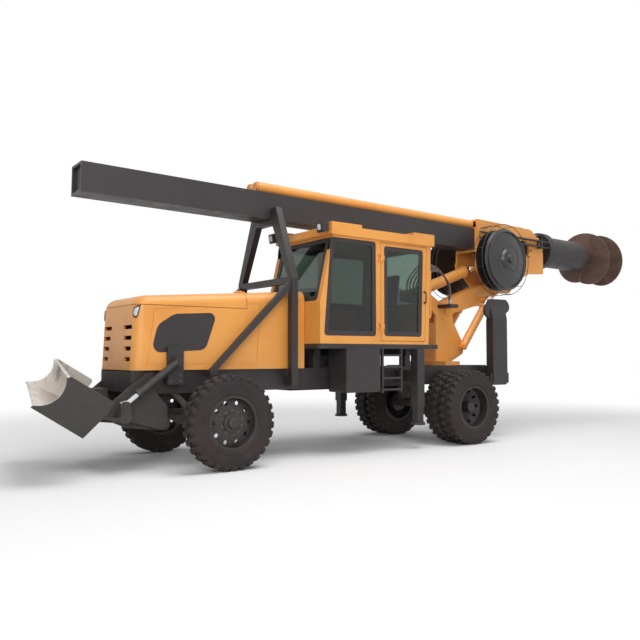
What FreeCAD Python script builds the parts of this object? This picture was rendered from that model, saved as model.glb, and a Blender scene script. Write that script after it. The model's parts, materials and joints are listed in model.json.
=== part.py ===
"""Wheeled mini rotary piling rig: a truck-type carrier with a cab, a dozer blade and a square kelly mast.

The origin is on the ground under the middle of the rig, +X is forwards, +Y is left and +Z is up.
Sizes are millimetres.  Stations along the rig are counted from the front axle, the rear axle,
the boom pivot or the mast pin, whichever carries the piece.
"""
import FreeCAD, Part
import math
import os
import re

import Sketcher
from FreeCAD import Placement, Rotation, Vector

doc = FreeCAD.newDocument("piling_rig")

# ---------------------------------------------------------------- driving dimensions
SIZES = {
    # running gear
    "front_axle_x": 3534,
    "wheelbase": 3900,
    "tyre_diameter": 1050,
    "tyre_width": 235,
    "tyre_corner": 40,
    "rim_radius": 285,
    "rim_lip": 22,
    "hand_holes": 10,
    "front_wheel_y": 940,
    "dual_outer_y": 930,
    "dual_spacing": 285,
    "kingpin_y": 690,
    "kingpin_radius": 25,
    "spindle_radius": 38,
    "hub_radius": 105,
    "axle_tube": 65,
    "banjo_radius": 170,
    "fit_gap": 0.05,
    "rest_gap": 0.3,
    # frame
    "rail_y": 480,
    "rail_flange": 80,
    "rail_wall": 14,
    "frame_bottom_z": 840,
    "frame_top_z": 1100,
    "frame_nose": 950,
    "frame_tail": 890,
    "deck_plate": 12,
    "tow_reach": 80,
    "tow_z": 940,
    "tow_plate": 40,
    "tow_hole": 22,
    # bonnet
    "hood_half": 530,
    "hood_nose": 960,
    "hood_rake": 40,
    "hood_front_z": 1920,
    "hood_rear_z": 2080,
    "hood_seam": 450,
    "hood_wall": 25,
    "hood_lid_drop": 95,
    "panel_gap": 6,
    "seam_width": 7,
    "slot_top": 1554,
    "slot_pitch": 118,
    "hinge_rise": 17,
    "hinge_y": 330,
    "hinge_pin": 7,
    "hinge_barrel": 14,
    "engine_length": 1000,
    "engine_width": 620,
    "engine_height": 680,
    # cab
    "cab_setback": 1300,
    "cab_to_axle": 740,
    "cab_left_y": 860,
    "cab_right_y": -360,
    "cab_floor_z": 1410,
    "cab_height": 1530,
    "cab_lean": 200,
    "cab_back_lean": 60,
    "cab_sill": 520,
    "cab_wall": 45,
    "cab_roof": 160,
    "roof_lip": 35,
    "roof_step": 42,
    "grab_radius": 16,
    "grab_in": 90,
    "grab_reach": 130,
    "grab_low": 370,
    "grab_high": 1080,
    "pillar": 85,
    "glass": 6,
    "platform": 60,
    "door_length": 790,
    # mast and its drive
    "mast_gap": 30,
    "mast_tube": 340,
    "mast_wall": 30,
    "mast_length": 6340,
    "mast_slope": 0.7,
    "kelly_gap": 6,
    "kelly_wall": 22,
    "kelly_inside": 2300,
    "housing_front": 650,
    "housing_rear": 1050,
    "housing_plate": 40,
    "housing_gap": 25,
    "crowd_radius": 72,
    "crowd_spacing": 75,
    "crowd_rod": 30,
    "crowd_length": 4060,
    "reel_ahead": 430,
    "reel_z": 2770,
    "reel_radius": 490,
    "reel_y": 430,
    "reel_width": 190,
    "reel_hub": 135,
    "guard_radius": 560,
    "guard_wire": 5,
    "hose_radius": 14,
    "bundle_radius": 11,
    "drum_gap": 110,
    "drum_collar": 170,
    "drum_radius": 272,
    "drum_length": 960,
    "feed_travel": 1700,
    "auger_radius": 480,
    "auger_shaft": 90,
    "auger_pitch": 420,
    "auger_flight": 30,
    "auger_turns": 2.15,
    "auger_length": 1180,
    # boom linkage
    "boom_setback": 330,
    "boom_pivot_z": 1930,
    "boom_reach": 1320,
    "boom_rise": 490,
    "boom_half": 130,
    "boom_pin": 45,
    "turret_plate": 45,
    "lug_out": 563,
    "lug_up": 259,
    "lift_base_back": 270,
    "lift_base_drop": 530,
    "lift_eye_back": 870,
    "lift_eye_up": 230,
    "cylinder_y": 270,
    "cylinder_radius": 62,
    "cylinder_rod": 36,
    "cylinder_pin": 28,
    # blade
    "blade_half": 950,
    "blade_pivot_ahead": 570,
    "blade_pivot_z": 500,
    "blade_arm_y": 420,
    "blade_arm_width": 90,
    "blade_reach": 1315,
    "blade_angle": 12,
    "blade_tilt": 5,
    "blade_eye_ahead": 510,
    "blade_eye_up": 235,
    "blade_gusset": 20,
    "blade_tower_ahead": 480,
    "blade_tower_z": 1190,
    "blade_tower_out": 100,
    # legs
    "jack_to_axle": 940,
    "jack_y": 850,
    "jack_size": 130,
    "leg_back": 950,
    "leg_pivot_y": 640,
    "leg_pivot_z": 880,
    "leg_width": 330,
    "leg_length": 1210,
    # mast rest
    "rest_setback": 1060,
    "rest_post": 90,
    "rest_out": 90,
    "rest_knee_z": 2220,
}

sheet = doc.addObject("Spreadsheet::Sheet", "dims")
for row, (alias, number) in enumerate(SIZES.items(), start=1):
    sheet.set(f"A{row}", alias)
    sheet.set(f"B{row}", str(number))
    sheet.setAlias(f"B{row}", alias)
doc.recompute()


# ---------------------------------------------------------------- formulas
def link(formula):
    """Turns the plain size names of a formula into references to the sheet."""
    return re.sub(r"[A-Za-z_]\w*", lambda m: f"dims.{m[0]}" if m[0] in SIZES else m[0], str(formula))


def bind(item, prop, formula):
    item.setExpression(prop, link(formula))


gauge = doc.addObject("Part::Vertex", "gauge")
measured = {}


def value(formula):
    """The present length of a formula, read through a gauge point bound to it."""
    key = str(formula)
    if key not in measured:
        bind(gauge, "X", key)
        gauge.recompute()
        measured[key] = gauge.X.Value
    return measured[key]


REAR_AXLE = "(front_axle_x - wheelbase)"
AXLE_Z = "(tyre_diameter / 2)"
FRAME_FRONT = "(front_axle_x + frame_nose)"
FRAME_REAR = f"({REAR_AXLE} - frame_tail)"
HOOD_FRONT = "(front_axle_x + hood_nose)"
CAB_FRONT = "(front_axle_x - cab_setback)"
CAB_REAR = f"({REAR_AXLE} + cab_to_axle)"
HOOD_REAR = f"({CAB_FRONT} + panel_gap)"
HOOD_SEAM = "(front_axle_x - hood_seam)"
ROOF_Z = "(cab_floor_z + cab_height)"
WALL_TOP = f"({ROOF_Z} - cab_roof)"
BOOM_X = f"({REAR_AXLE} - boom_setback)"
PIN_X = f"({BOOM_X} - boom_reach)"
PIN_Z = "(boom_pivot_z + boom_rise)"
MAST_Z = f"({ROOF_Z} + mast_gap + mast_tube / 2)"
HOUSING_FRONT = f"({PIN_X} + housing_front)"
HOUSING_REAR = f"({PIN_X} - housing_rear)"
CHEEK_Y = "(mast_tube / 2 + housing_gap)"
MAST_NOSE = f"({HOUSING_FRONT} + mast_length)"
CROWD_Z = f"({MAST_Z} + mast_tube / 2 + crowd_radius)"
COLLAR_X = f"({HOUSING_REAR} - drum_gap)"
DRUM_X = f"({COLLAR_X} - drum_collar)"
DRUM_END = f"({DRUM_X} - drum_length)"
TILT_BASE_X = f"({BOOM_X} + lug_out)"
TILT_BASE_Z = "(boom_pivot_z + lug_up)"
TILT_EYE_X = f"({PIN_X} + lug_out)"
TILT_EYE_Z = f"({PIN_Z} + lug_up)"
LIFT_BASE_X = f"({BOOM_X} - lift_base_back)"
LIFT_BASE_Z = "(boom_pivot_z - lift_base_drop)"
LIFT_EYE_X = f"({BOOM_X} - lift_eye_back)"
LIFT_EYE_Z = "(boom_pivot_z + lift_eye_up)"
BLADE_X = "(front_axle_x + blade_pivot_ahead)"
TOWER_X = "(front_axle_x + blade_tower_ahead)"
TOWER_Y = "(hood_half + blade_tower_out)"
JACK_X = f"({REAR_AXLE} + jack_to_axle)"
LEG_X = f"({REAR_AXLE} - leg_back)"
REST_X = "(front_axle_x - rest_setback)"
REST_Y = "(hood_half + rest_out)"

nodes = []
counter = {}


def fresh(stem):
    """A document name that is used once: stem, stem_2, stem_3 and so on."""
    counter[stem] = counter.get(stem, 0) + 1
    return stem if counter[stem] == 1 else f"{stem}_{counter[stem]}"


def node(name, item):
    """Gives a finished sub-part the name that its file carries."""
    item.Label = name
    nodes.append(item)
    return item


# ---------------------------------------------------------------- shape helpers
def place(item, x=0, y=0, z=0):
    for axis, formula in (("x", x), ("y", y), ("z", z)):
        if formula != 0:
            bind(item, f"Placement.Base.{axis}", formula)
    return item


def box(stem, x, y, z, length, width, height):
    """A block by its low corner and its size."""
    item = doc.addObject("Part::Box", fresh(stem))
    bind(item, "Length", length)
    bind(item, "Width", width)
    bind(item, "Height", height)
    return place(item, x, y, z)


def span(stem, x, y, z):
    """A block by its low and high formula on each axis."""
    (x0, x1), (y0, y1), (z0, z1) = x, y, z
    return box(stem, x0, y0, z0, f"({x1}) - ({x0})", f"({y1}) - ({y0})", f"({z1}) - ({z0})")


TURNS = {"z": Rotation(), "x": Rotation(Vector(0, 1, 0), 90), "y": Rotation(Vector(1, 0, 0), -90)}


def rod(stem, axis, x, y, z, radius, length):
    """A round bar that starts at a point and runs along +X, +Y or +Z."""
    item = doc.addObject("Part::Cylinder", fresh(stem))
    bind(item, "Radius", radius)
    bind(item, "Height", length)
    item.Placement = Placement(Vector(), TURNS[axis])
    return place(item, x, y, z)


def fuse(stem, *parts):
    item = doc.addObject("Part::MultiFuse", fresh(stem))
    item.Shapes = list(parts)
    item.Refine = True
    return item


def cut(stem, base, *tools):
    item = doc.addObject("Part::Cut", fresh(stem))
    item.Base = base
    item.Tool = tools[0] if len(tools) == 1 else group(f"{stem}_tools", *tools)
    item.Refine = True
    return item


def common(stem, base, tool):
    item = doc.addObject("Part::Common", fresh(stem))
    item.Base = base
    item.Tool = tool
    return item


def group(stem, *parts):
    """Separate solids that share a node."""
    item = doc.addObject("Part::Compound", fresh(stem))
    item.Links = list(parts)
    return item


def mirror(stem, part):
    """The same piece on the other side of the rig."""
    item = doc.addObject("Part::Mirroring", fresh(stem))
    item.Source = part
    item.Normal = Vector(0, 1, 0)
    return item


def pair(stem, part):
    return group(stem, part, mirror(f"{stem}_twin", part))


PLANES = {"XZ": "XZ_Plane", "YZ": "YZ_Plane", "XY": "XY_Plane"}


def outline(body, plane, offset, points):
    """A closed sketch through points given as formulas: (across, up) or (across, up, corner radius)."""
    sketch = body.newObject("Sketcher::SketchObject", fresh(f"{body.Name}_sketch"))
    origin = next(f for f in body.Origin.OriginFeatures if f.Role == PLANES[plane])
    sketch.AttachmentSupport = (origin, [""])
    sketch.MapMode = "FlatFace"
    if offset != 0:
        bind(sketch, "AttachmentOffset.Base.z", offset)
    corners = [Vector(value(p[0]), value(p[1]), 0) for p in points]
    count = len(points)
    ends = []
    for i, corner in enumerate(corners):
        if len(points[i]) == 2:
            ends.append((corner, corner, None))
            continue
        before = (corners[i - 1] - corner).normalize()
        after = (corners[(i + 1) % count] - corner).normalize()
        half = before.getAngle(after) / 2
        reach = value(points[i][2]) / math.tan(half)
        middle = corner + (before + after).normalize() * (value(points[i][2]) / math.sin(half))
        ends.append((corner + before * reach, corner + after * reach, middle))
    for i in range(count):
        sketch.addGeometry(Part.LineSegment(ends[i][1], ends[(i + 1) % count][0]), False)
    for i, point in enumerate(points):
        came, went = (i - 1) % count, i
        if len(point) == 2:
            sketch.addConstraint(Sketcher.Constraint("Coincident", came, 2, went, 1))
            held, end = went, 1
        else:
            start, stop, middle = ends[i]
            radius = value(point[2])
            angles = [math.atan2(e.y - middle.y, e.x - middle.x) for e in (start, stop)]
            forward = (angles[1] - angles[0]) % (2 * math.pi) < math.pi
            first, last = angles if forward else angles[::-1]
            circle = Part.Circle(middle, Vector(0, 0, 1), radius)
            arc = sketch.addGeometry(Part.ArcOfCircle(circle, first, last), False)
            held = sketch.addGeometry(Part.Point(corners[i]), True)
            end = 1
            sketch.addConstraint([
                Sketcher.Constraint("Tangent", came, 2, arc, 1 if forward else 2),
                Sketcher.Constraint("Tangent", went, 1, arc, 2 if forward else 1),
                Sketcher.Constraint("PointOnObject", held, 1, came),
                Sketcher.Constraint("PointOnObject", held, 1, went),
            ])
            index = sketch.addConstraint(Sketcher.Constraint("Radius", arc, radius))
            bind(sketch, f"Constraints[{index}]", point[2])
        for kind, formula, number in (("DistanceX", point[0], corners[i].x), ("DistanceY", point[1], corners[i].y)):
            index = sketch.addConstraint(Sketcher.Constraint(kind, held, end, number))
            bind(sketch, f"Constraints[{index}]", formula)
    return sketch


def prism(stem, plane, points, low, high):
    """An outline padded from low to high along the plane's own axis."""
    body = doc.addObject("PartDesign::Body", fresh(stem))
    offset = f"-({high})" if plane == "XZ" else low
    sketch = outline(body, plane, offset, points)
    pad = body.newObject("PartDesign::Pad", fresh(f"{stem}_pad"))
    pad.Profile = sketch
    bind(pad, "Length", f"({high}) - ({low})")
    return body


def turned(stem, points, x, y, z):
    """A ring or hub turned about its own Y axis from (radius, along) points."""
    body = doc.addObject("PartDesign::Body", fresh(stem))
    sketch = outline(body, "XY", 0, points)
    spin = body.newObject("PartDesign::Revolution", fresh(f"{stem}_turn"))
    spin.Profile = sketch
    spin.ReferenceAxis = (sketch, ["V_Axis"])
    spin.Angle = 360
    return place(body, x, y, z)


def soften(body, radius, wanted):
    """Rounds the edges of a body's last feature that the test picks."""
    doc.recompute()
    base = body.Tip
    names = [f"Edge{i}" for i, edge in enumerate(base.Shape.Edges, start=1) if wanted(edge)]
    rounded = body.newObject("PartDesign::Fillet", fresh(f"{body.Name}_round"))
    rounded.Base = (base, names)
    bind(rounded, "Radius", radius)
    return body


def dx(a, b):
    return f"(({b}) - ({a}))"


def lay_along(item, x0, z0, x1, z1):
    """Turns a piece made along +X about Y so that it points from one pin to another."""
    item.Placement = Placement(Vector(), Rotation(Vector(0, -1, 0), 1))
    bind(item, "Placement.Rotation.Angle", f"atan2({dx(z0, z1)}; {dx(x0, x1)})")
    return place(item, x0, 0, z0)


def pin_distance(x0, z0, x1, z1):
    return f"sqrt(pow({dx(x0, x1)}; 2) + pow({dx(z0, z1)}; 2))"


# ---------------------------------------------------------------- carrier frame and axles
def chassis_frame():
    channel = [
        ("rail_y", "frame_bottom_z"), ("rail_y", "frame_top_z"),
        ("rail_y - rail_flange", "frame_top_z"), ("rail_y - rail_flange", "frame_top_z - rail_wall"),
        ("rail_y - rail_wall", "frame_top_z - rail_wall"), ("rail_y - rail_wall", "frame_bottom_z + rail_wall"),
        ("rail_y - rail_flange", "frame_bottom_z + rail_wall"), ("rail_y - rail_flange", "frame_bottom_z"),
    ]
    left = prism("rail", "YZ", channel, FRAME_REAR, FRAME_FRONT)
    pieces = [left, mirror("rail_right", left)]
    inner = ("-(rail_y - rail_wall)", "rail_y - rail_wall")
    for station in (f"{FRAME_FRONT} - 120", f"{HOOD_SEAM} - 400", f"{CAB_FRONT} - 700",
                    f"{CAB_REAR}", f"{REAR_AXLE}", f"{FRAME_REAR}"):
        heights = ("frame_bottom_z + rail_wall", "frame_top_z - rail_wall")
        pieces.append(span("crossmember", (station, f"{station} + 120"), inner, heights))
    pieces.append(span("deck", (FRAME_REAR, f"{CAB_REAR} - 420"), ("-rail_y", "rail_y"),
                       ("frame_top_z - rail_wall", "frame_top_z + deck_plate")))
    lug = prism("tow_lug", "XY", [
        (FRAME_REAR, "-110"), (f"{FRAME_REAR} - tow_reach - 55", "-55", 40),
        (f"{FRAME_REAR} - tow_reach - 55", "55", 40),
        (FRAME_REAR, "110"),
    ], "tow_z", "tow_z + tow_plate")
    eye = rod("tow_eye", "z", f"{FRAME_REAR} - tow_reach", 0, "tow_z - 10", "tow_hole", "tow_plate + 20")
    pieces.append(cut("tow_lug_cut", lug, eye))
    node("chassis_frame", fuse("frame", *pieces))


def front_axle():
    beam = [
        ("-(kingpin_y - 30)", f"{AXLE_Z} - 45"), ("-330", f"{AXLE_Z} - 105", 60), ("330", f"{AXLE_Z} - 105", 60),
        ("kingpin_y - 30", f"{AXLE_Z} - 45"), ("kingpin_y - 30", f"{AXLE_Z} + 45"),
        ("360", f"{AXLE_Z} + 5", 60), ("-360", f"{AXLE_Z} + 5", 60), ("-(kingpin_y - 30)", f"{AXLE_Z} + 45"),
    ]
    bar = prism("axle_beam", "YZ", beam, "front_axle_x - 45", "front_axle_x + 45")
    spring = [
        ("front_axle_x - 400", "frame_bottom_z"), ("front_axle_x - 130", f"{AXLE_Z} + 65", 200),
        ("front_axle_x + 130", f"{AXLE_Z} + 65", 200), ("front_axle_x + 400", "frame_bottom_z"),
        ("front_axle_x + 470", "frame_bottom_z"), ("front_axle_x + 170", f"{AXLE_Z} + 5", 240),
        ("front_axle_x - 170", f"{AXLE_Z} + 5", 240), ("front_axle_x - 470", "frame_bottom_z"),
    ]
    leaf = prism("spring", "XZ", spring, "rail_y - rail_flange - 10", "rail_y - 20")
    boss = rod("kingpin_boss", "z", "front_axle_x", "kingpin_y", f"{AXLE_Z} - 60", 55, 120)
    body = fuse("axle_parts", bar, leaf, mirror("spring_right", leaf), boss, mirror("boss_right", boss))
    bore = rod("kingpin_bore", "z", "front_axle_x", "kingpin_y", f"{AXLE_Z} - 70",
               "kingpin_radius + fit_gap", 140)
    node("front_axle", cut("front_axle_cut", body, bore, mirror("bore_right", bore)))


HUB_INNER_REAR = "(dual_outer_y - dual_spacing - tyre_width / 2 + 30)"


def rear_axle():
    profile = [
        (0, f"-{HUB_INNER_REAR}"), ("axle_tube", f"-{HUB_INNER_REAR}"), ("axle_tube", "-230", 60),
        ("banjo_radius", "-110", 60), ("banjo_radius", "110", 60), ("axle_tube", "230", 60),
        ("axle_tube", HUB_INNER_REAR), ("spindle_radius", HUB_INNER_REAR), ("spindle_radius", "dual_outer_y"),
        (0, "dual_outer_y"),
    ]
    profile = profile[1:]
    left = [(0, "-dual_outer_y"), ("spindle_radius", "-dual_outer_y"), ("spindle_radius", f"-{HUB_INNER_REAR}")]
    tube = turned("rear_tube", left + profile, REAR_AXLE, 0, AXLE_Z)
    seat = span("axle_seat", (f"{REAR_AXLE} - 110", f"{REAR_AXLE} + 110"),
                ("rail_y - rail_flange", "rail_y"), (AXLE_Z, "frame_bottom_z"))
    node("rear_axle", fuse("rear_axle_parts", tube, seat, mirror("seat_right", seat)))


def engine_block():
    """The block, standing across the rails on two mounting bars."""
    rear, front = "(front_axle_x + 520 - engine_length)", "(front_axle_x + 520)"
    block = span("engine", (rear, front), ("-engine_width / 2", "engine_width / 2"),
                 ("frame_top_z", "frame_top_z + engine_height"))
    mounts = []
    for station in (f"{rear} + 120", f"{front} - 220"):
        mounts.append(span("engine_mount", (station, f"{station} + 100"), ("-(rail_y - 15)", "rail_y - 15"),
                           ("frame_top_z", "frame_top_z + 60")))
    node("engine_block", fuse("engine_parts", block, *mounts))


# ---------------------------------------------------------------- wheels
BEAD = "(tyre_width / 2 - 30)"
RIM_SKIN = "(rim_radius - 12)"


def tyre_at(x, y):
    half = "tyre_width / 2"
    outer = "tyre_diameter / 2"
    wall = f"({outer} - rim_radius)"
    flank = [
        ("rim_radius", BEAD), ("rim_radius + rim_lip", BEAD), (f"rim_radius + {wall} * 3 / 16", f"{half} - 8"),
        (f"{outer} - {wall} * 11 / 24", half, 90), (outer, f"{half} - 22", "tyre_corner"),
    ]
    return turned("tyre", flank + [(p[0], f"-({p[1]})", *p[2:]) for p in reversed(flank)], x, y, AXLE_Z)


def rim_at(x, y, dish):
    """A rim ring and its disc, whose middle sits at dish along Y from the tyre's middle."""
    ring = [
        ("rim_radius", f"-{BEAD}"), ("rim_radius + rim_lip", f"-{BEAD}"), ("rim_radius + rim_lip", f"-{BEAD} - 12"),
        (RIM_SKIN, f"-{BEAD} - 12"), (RIM_SKIN, f"{BEAD} + 12"), ("rim_radius + rim_lip", f"{BEAD} + 12"),
        ("rim_radius + rim_lip", BEAD), ("rim_radius", BEAD),
    ]
    edge = f"({dish}) * 0.4"
    disc = [
        ("hub_radius - 5", f"{dish} - 9"), ("hub_radius + 45", f"{dish} - 9", 30), (RIM_SKIN, f"{edge} - 9"),
        (RIM_SKIN, f"{edge} + 9"), ("hub_radius + 45", f"{dish} + 9", 30), ("hub_radius - 5", f"{dish} + 9"),
    ]
    plate = turned("rim_disc", disc, x, y, AXLE_Z)
    holes = []
    count = round(value("hand_holes"))
    for i in range(count):
        turn = 2 * math.pi * i / count
        across = "(rim_radius - 62)"
        holes.append(rod("hand_hole", "y", f"{x} + ({across}) * {math.cos(turn):.6f}", f"{y} - 200",
                         f"{AXLE_Z} + ({across}) * {math.sin(turn):.6f}", 24, 400))
    return fuse("rim", turned("rim_ring", ring, x, y, AXLE_Z), cut("pierced_disc", plate, *holes))


def front_hub():
    """The drum and cap of the left front hub, bored for the spindle."""
    profile = [
        ("spindle_radius + fit_gap", "-70"), ("hub_radius + 25", "-70"), ("hub_radius + 25", "10"),
        ("hub_radius", "10"), ("hub_radius", "70"), ("hub_radius - 38", "75", 6), ("hub_radius - 42", "112", 12),
        (0, "112"), (0, "55"), ("spindle_radius + fit_gap", "55"),
    ]
    return turned("front_hub", profile, "front_axle_x", "front_wheel_y", AXLE_Z)


def rear_hub():
    """The left rear hub that carries both discs of the twin wheel."""
    middle = "(dual_outer_y - dual_spacing / 2)"
    start = f"({HUB_INNER_REAR} - {middle} + rest_gap)"
    tip = f"(dual_outer_y - {middle})"
    profile = [
        ("spindle_radius + fit_gap", start), ("hub_radius + 40", start), ("hub_radius + 40", "-10"),
        ("hub_radius", "-10"), ("hub_radius", "30"), ("hub_radius - 28", "36", 6),
        ("hub_radius - 34", f"{tip} + 40", 12),
        (0, f"{tip} + 40"), (0, f"{tip} + rest_gap"), ("spindle_radius + fit_gap", f"{tip} + rest_gap"),
    ]
    return turned("rear_hub", profile, REAR_AXLE, middle, AXLE_Z)


def front_wheels():
    tyre = node("front_tyre_left", tyre_at("front_axle_x", "front_wheel_y"))
    rim = fuse("front_wheel", rim_at("front_axle_x", "front_wheel_y", "45"), front_hub())
    node("front_rim_left", rim)
    node("front_tyre_right", mirror("front_tyre_right", tyre))
    node("front_rim_right", mirror("front_rim_right", rim))


def rear_wheels():
    inner_y = "(dual_outer_y - dual_spacing)"
    meet = "(dual_spacing / 2)"
    tyres = group("rear_tyres", tyre_at(REAR_AXLE, "dual_outer_y"), tyre_at(REAR_AXLE, inner_y))
    node("rear_tyres_left", tyres)
    outer = rim_at(REAR_AXLE, "dual_outer_y", f"(9 - {meet})")
    inner = rim_at(REAR_AXLE, inner_y, f"({meet} - 9)")
    rims = fuse("rear_wheel", outer, inner, rear_hub())
    node("rear_rims_left", rims)
    node("rear_tyres_right", mirror("rear_tyres_right", tyres))
    node("rear_rims_right", mirror("rear_rims_right", rims))


def knuckles():
    """A forked knuckle whose pin stands in the axle's boss and whose spindle carries the wheel."""
    top = span("fork_top", ("front_axle_x - 50", "front_axle_x + 50"), ("kingpin_y - 50", "kingpin_y + 95"),
               (f"{AXLE_Z} + 60 + rest_gap", f"{AXLE_Z} + 92"))
    bottom = span("fork_bottom", ("front_axle_x - 50", "front_axle_x + 50"), ("kingpin_y - 50", "kingpin_y + 95"),
                  (f"{AXLE_Z} - 92", f"{AXLE_Z} - 60 - rest_gap"))
    web = span("fork_web", ("front_axle_x - 50", "front_axle_x + 50"), ("kingpin_y + 65", "kingpin_y + 95"),
               (f"{AXLE_Z} - 92", f"{AXLE_Z} + 92"))
    pin = rod("kingpin", "z", "front_axle_x", "kingpin_y", f"{AXLE_Z} - 92", "kingpin_radius", 184)
    spindle = rod("spindle", "y", "front_axle_x", "kingpin_y + 70", AXLE_Z, "spindle_radius",
                  "front_wheel_y - kingpin_y - 70 + 45")
    left = fuse("knuckle", top, bottom, web, pin, spindle)
    node("knuckle_left", left)
    node("knuckle_right", mirror("knuckle_right", left))


# ---------------------------------------------------------------- bonnet
def hood_form(stem, inset):
    """The bonnet's outer form, or the hollow inside it when inset by the wall."""
    slope = [
        (HOOD_REAR, f"frame_top_z - {inset}"), (f"{HOOD_FRONT} - {inset}", f"frame_top_z - {inset}"),
        (f"{HOOD_FRONT} - hood_rake - {inset}", f"hood_front_z - {inset}", f"150 - {inset}"),
        (HOOD_REAR, f"hood_rear_z - {inset}"),
    ]
    if inset == "0":
        slope[0], slope[1] = (HOOD_REAR, "frame_top_z"), (HOOD_FRONT, "frame_top_z")
    body = prism(stem, "XZ", slope, f"-(hood_half - {inset})", f"hood_half - {inset}")
    floor, back = value(f"frame_top_z - {inset}"), value(HOOD_REAR)

    def shoulder(edge):
        """The edges between a side and the nose or the top, in one smooth chain."""
        box_now = edge.BoundBox
        return box_now.YLength < 1 and box_now.ZMax > floor + 1 and box_now.XMax > back + 1

    return soften(body, f"120 - {inset}", shoulder)


def lid_hinges():
    """Two hinges on top of the bonnet behind its lid: fixed ears with a pin, and a barrel on the lid."""
    x = f"({HOOD_SEAM} - panel_gap / 2)"
    slope = f"((hood_rear_z - hood_front_z) / ({HOOD_FRONT} - hood_rake - {HOOD_REAR}))"
    top = f"(hood_front_z + ({HOOD_FRONT} - hood_rake - {x}) * {slope})"
    z = f"({top} + hinge_rise)"
    fixed, moving = [], []
    for side in (-1, 1):
        y = f"({side} * hinge_y)"
        fixed.append(rod("lid_pin", "y", x, f"{y} - 55", z, "hinge_pin", 110))
        for low in (f"{y} - 55", f"{y} + 30.3"):
            fixed.append(rod("lid_ear", "y", x, low, z, "hinge_barrel", 24.7))
            fixed.append(span("lid_ear_foot", (f"{x} - 55", x), (low, f"{low} + 24.7"), (f"{top} - 8", f"{z} + 4")))
        barrel = rod("lid_barrel", "y", x, f"{y} - 30", z, "hinge_barrel", 60)
        leaf = span("lid_leaf", (x, f"{x} + 55"), (f"{y} - 30", f"{y} + 30"), (f"{top} - 8", f"{z} + 4"))
        bore = rod("lid_bore", "y", x, f"{y} - 35", z, "hinge_pin + fit_gap", 70)
        moving.append(cut("lid_hinge", fuse("lid_hinge_parts", barrel, leaf), bore))
    return fixed, moving


def seam_slab(stem, inset):
    """The side door's outline on the left flank, as a shallow slab for its groove."""
    return prism(stem, "XZ", [
        (f"front_axle_x + 800 - {inset}", f"1165 + {inset}"), (f"front_axle_x + 720 - {inset}", f"1780 - {inset}"),
        (f"front_axle_x - 630 + {inset}", f"1895 - {inset}"), (f"front_axle_x - 600 + {inset}", f"1165 + {inset}"),
    ], "hood_half - 4", "hood_half + 5")


def bonnet():
    form = hood_form("hood_outer", "0")
    hollow = hood_form("hood_inner", "hood_wall")
    shell = cut("hood_shell", form, hollow)
    split = f"({HOOD_SEAM})"
    lid_low = "(hood_front_z - hood_lid_drop)"
    wide = ("-hood_half - 50", "hood_half + 50")
    lid_zone = prism("lid_zone", "XZ", [
        (split, lid_low), (f"{HOOD_FRONT} + 50", lid_low), (f"{HOOD_FRONT} + 50", "hood_rear_z + 100"),
        (split, "hood_rear_z + 100"),
    ], *wide)
    gap_zone = prism("lid_gap", "XZ", [
        (f"{split} - panel_gap", f"{lid_low} - panel_gap"), (f"{HOOD_FRONT} + 60", f"{lid_low} - panel_gap"),
        (f"{HOOD_FRONT} + 60", "hood_rear_z + 120"), (f"{split} - panel_gap", "hood_rear_z + 120"),
    ], *wide)
    lid = common("lid_panel", shell, lid_zone)
    vent = [
        ("front_axle_x + 755", "1290", 90), ("front_axle_x + 680", "1600", 160), ("front_axle_x + 480", "1730", 200),
        ("front_axle_x - 60", "1760", 70), ("front_axle_x + 90", "1325", 110),
    ]
    vent_hole = prism("vent_hole", "XZ", vent, "-hood_half - 30", "hood_half + 30")
    left_panel = prism("vent_panel", "XZ", vent, "hood_half - 18", "hood_half - 6")
    slots = []
    for i in range(4):
        top = f"slot_top - {i} * slot_pitch"
        bar = span("slot", (f"{HOOD_FRONT} - 200", f"{HOOD_FRONT} + 30"), (f"180 + {i} * 25", "430"),
                   (top, f"{top} + 45"))
        slots += [bar, mirror("slot_right", bar)]
    seam = cut("side_seam", seam_slab("seam_outer", "0"), seam_slab("seam_inner", "seam_width"))
    fixed, moving = lid_hinges()
    body = cut("bonnet_cut", shell, gap_zone, vent_hole, *slots, seam, mirror("side_seam_right", seam))
    node("bonnet_shell", fuse("bonnet_body", body, *fixed))
    node("bonnet_lid", fuse("bonnet_lid_parts", lid, *moving))
    node("bonnet_vents", pair("vents", left_panel))


# ---------------------------------------------------------------- cab
DOOR_REAR = f"({CAB_REAR} + 75)"
DOOR_FRONT = f"({DOOR_REAR} + door_length)"
DOOR_LOW = "(cab_floor_z + 45)"
DOOR_HIGH = f"({WALL_TOP} - 28)"
INNER_LEFT = "(cab_left_y - cab_wall)"
INNER_RIGHT = "(cab_right_y + cab_wall)"
SILL_Z = "(cab_floor_z + cab_sill)"


def cab_profile(inset):
    """The side outline of the cab: upright to the sill, then leaning back to the roof."""
    return [
        (f"{CAB_REAR} + {inset}", f"cab_floor_z + {inset}"), (f"{CAB_FRONT} - {inset}", f"cab_floor_z + {inset}"),
        (f"{CAB_FRONT} - {inset}", SILL_Z), (f"{CAB_FRONT} - cab_lean - {inset}", WALL_TOP),
        (f"{CAB_REAR} - cab_back_lean + {inset}", WALL_TOP),
    ]


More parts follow.
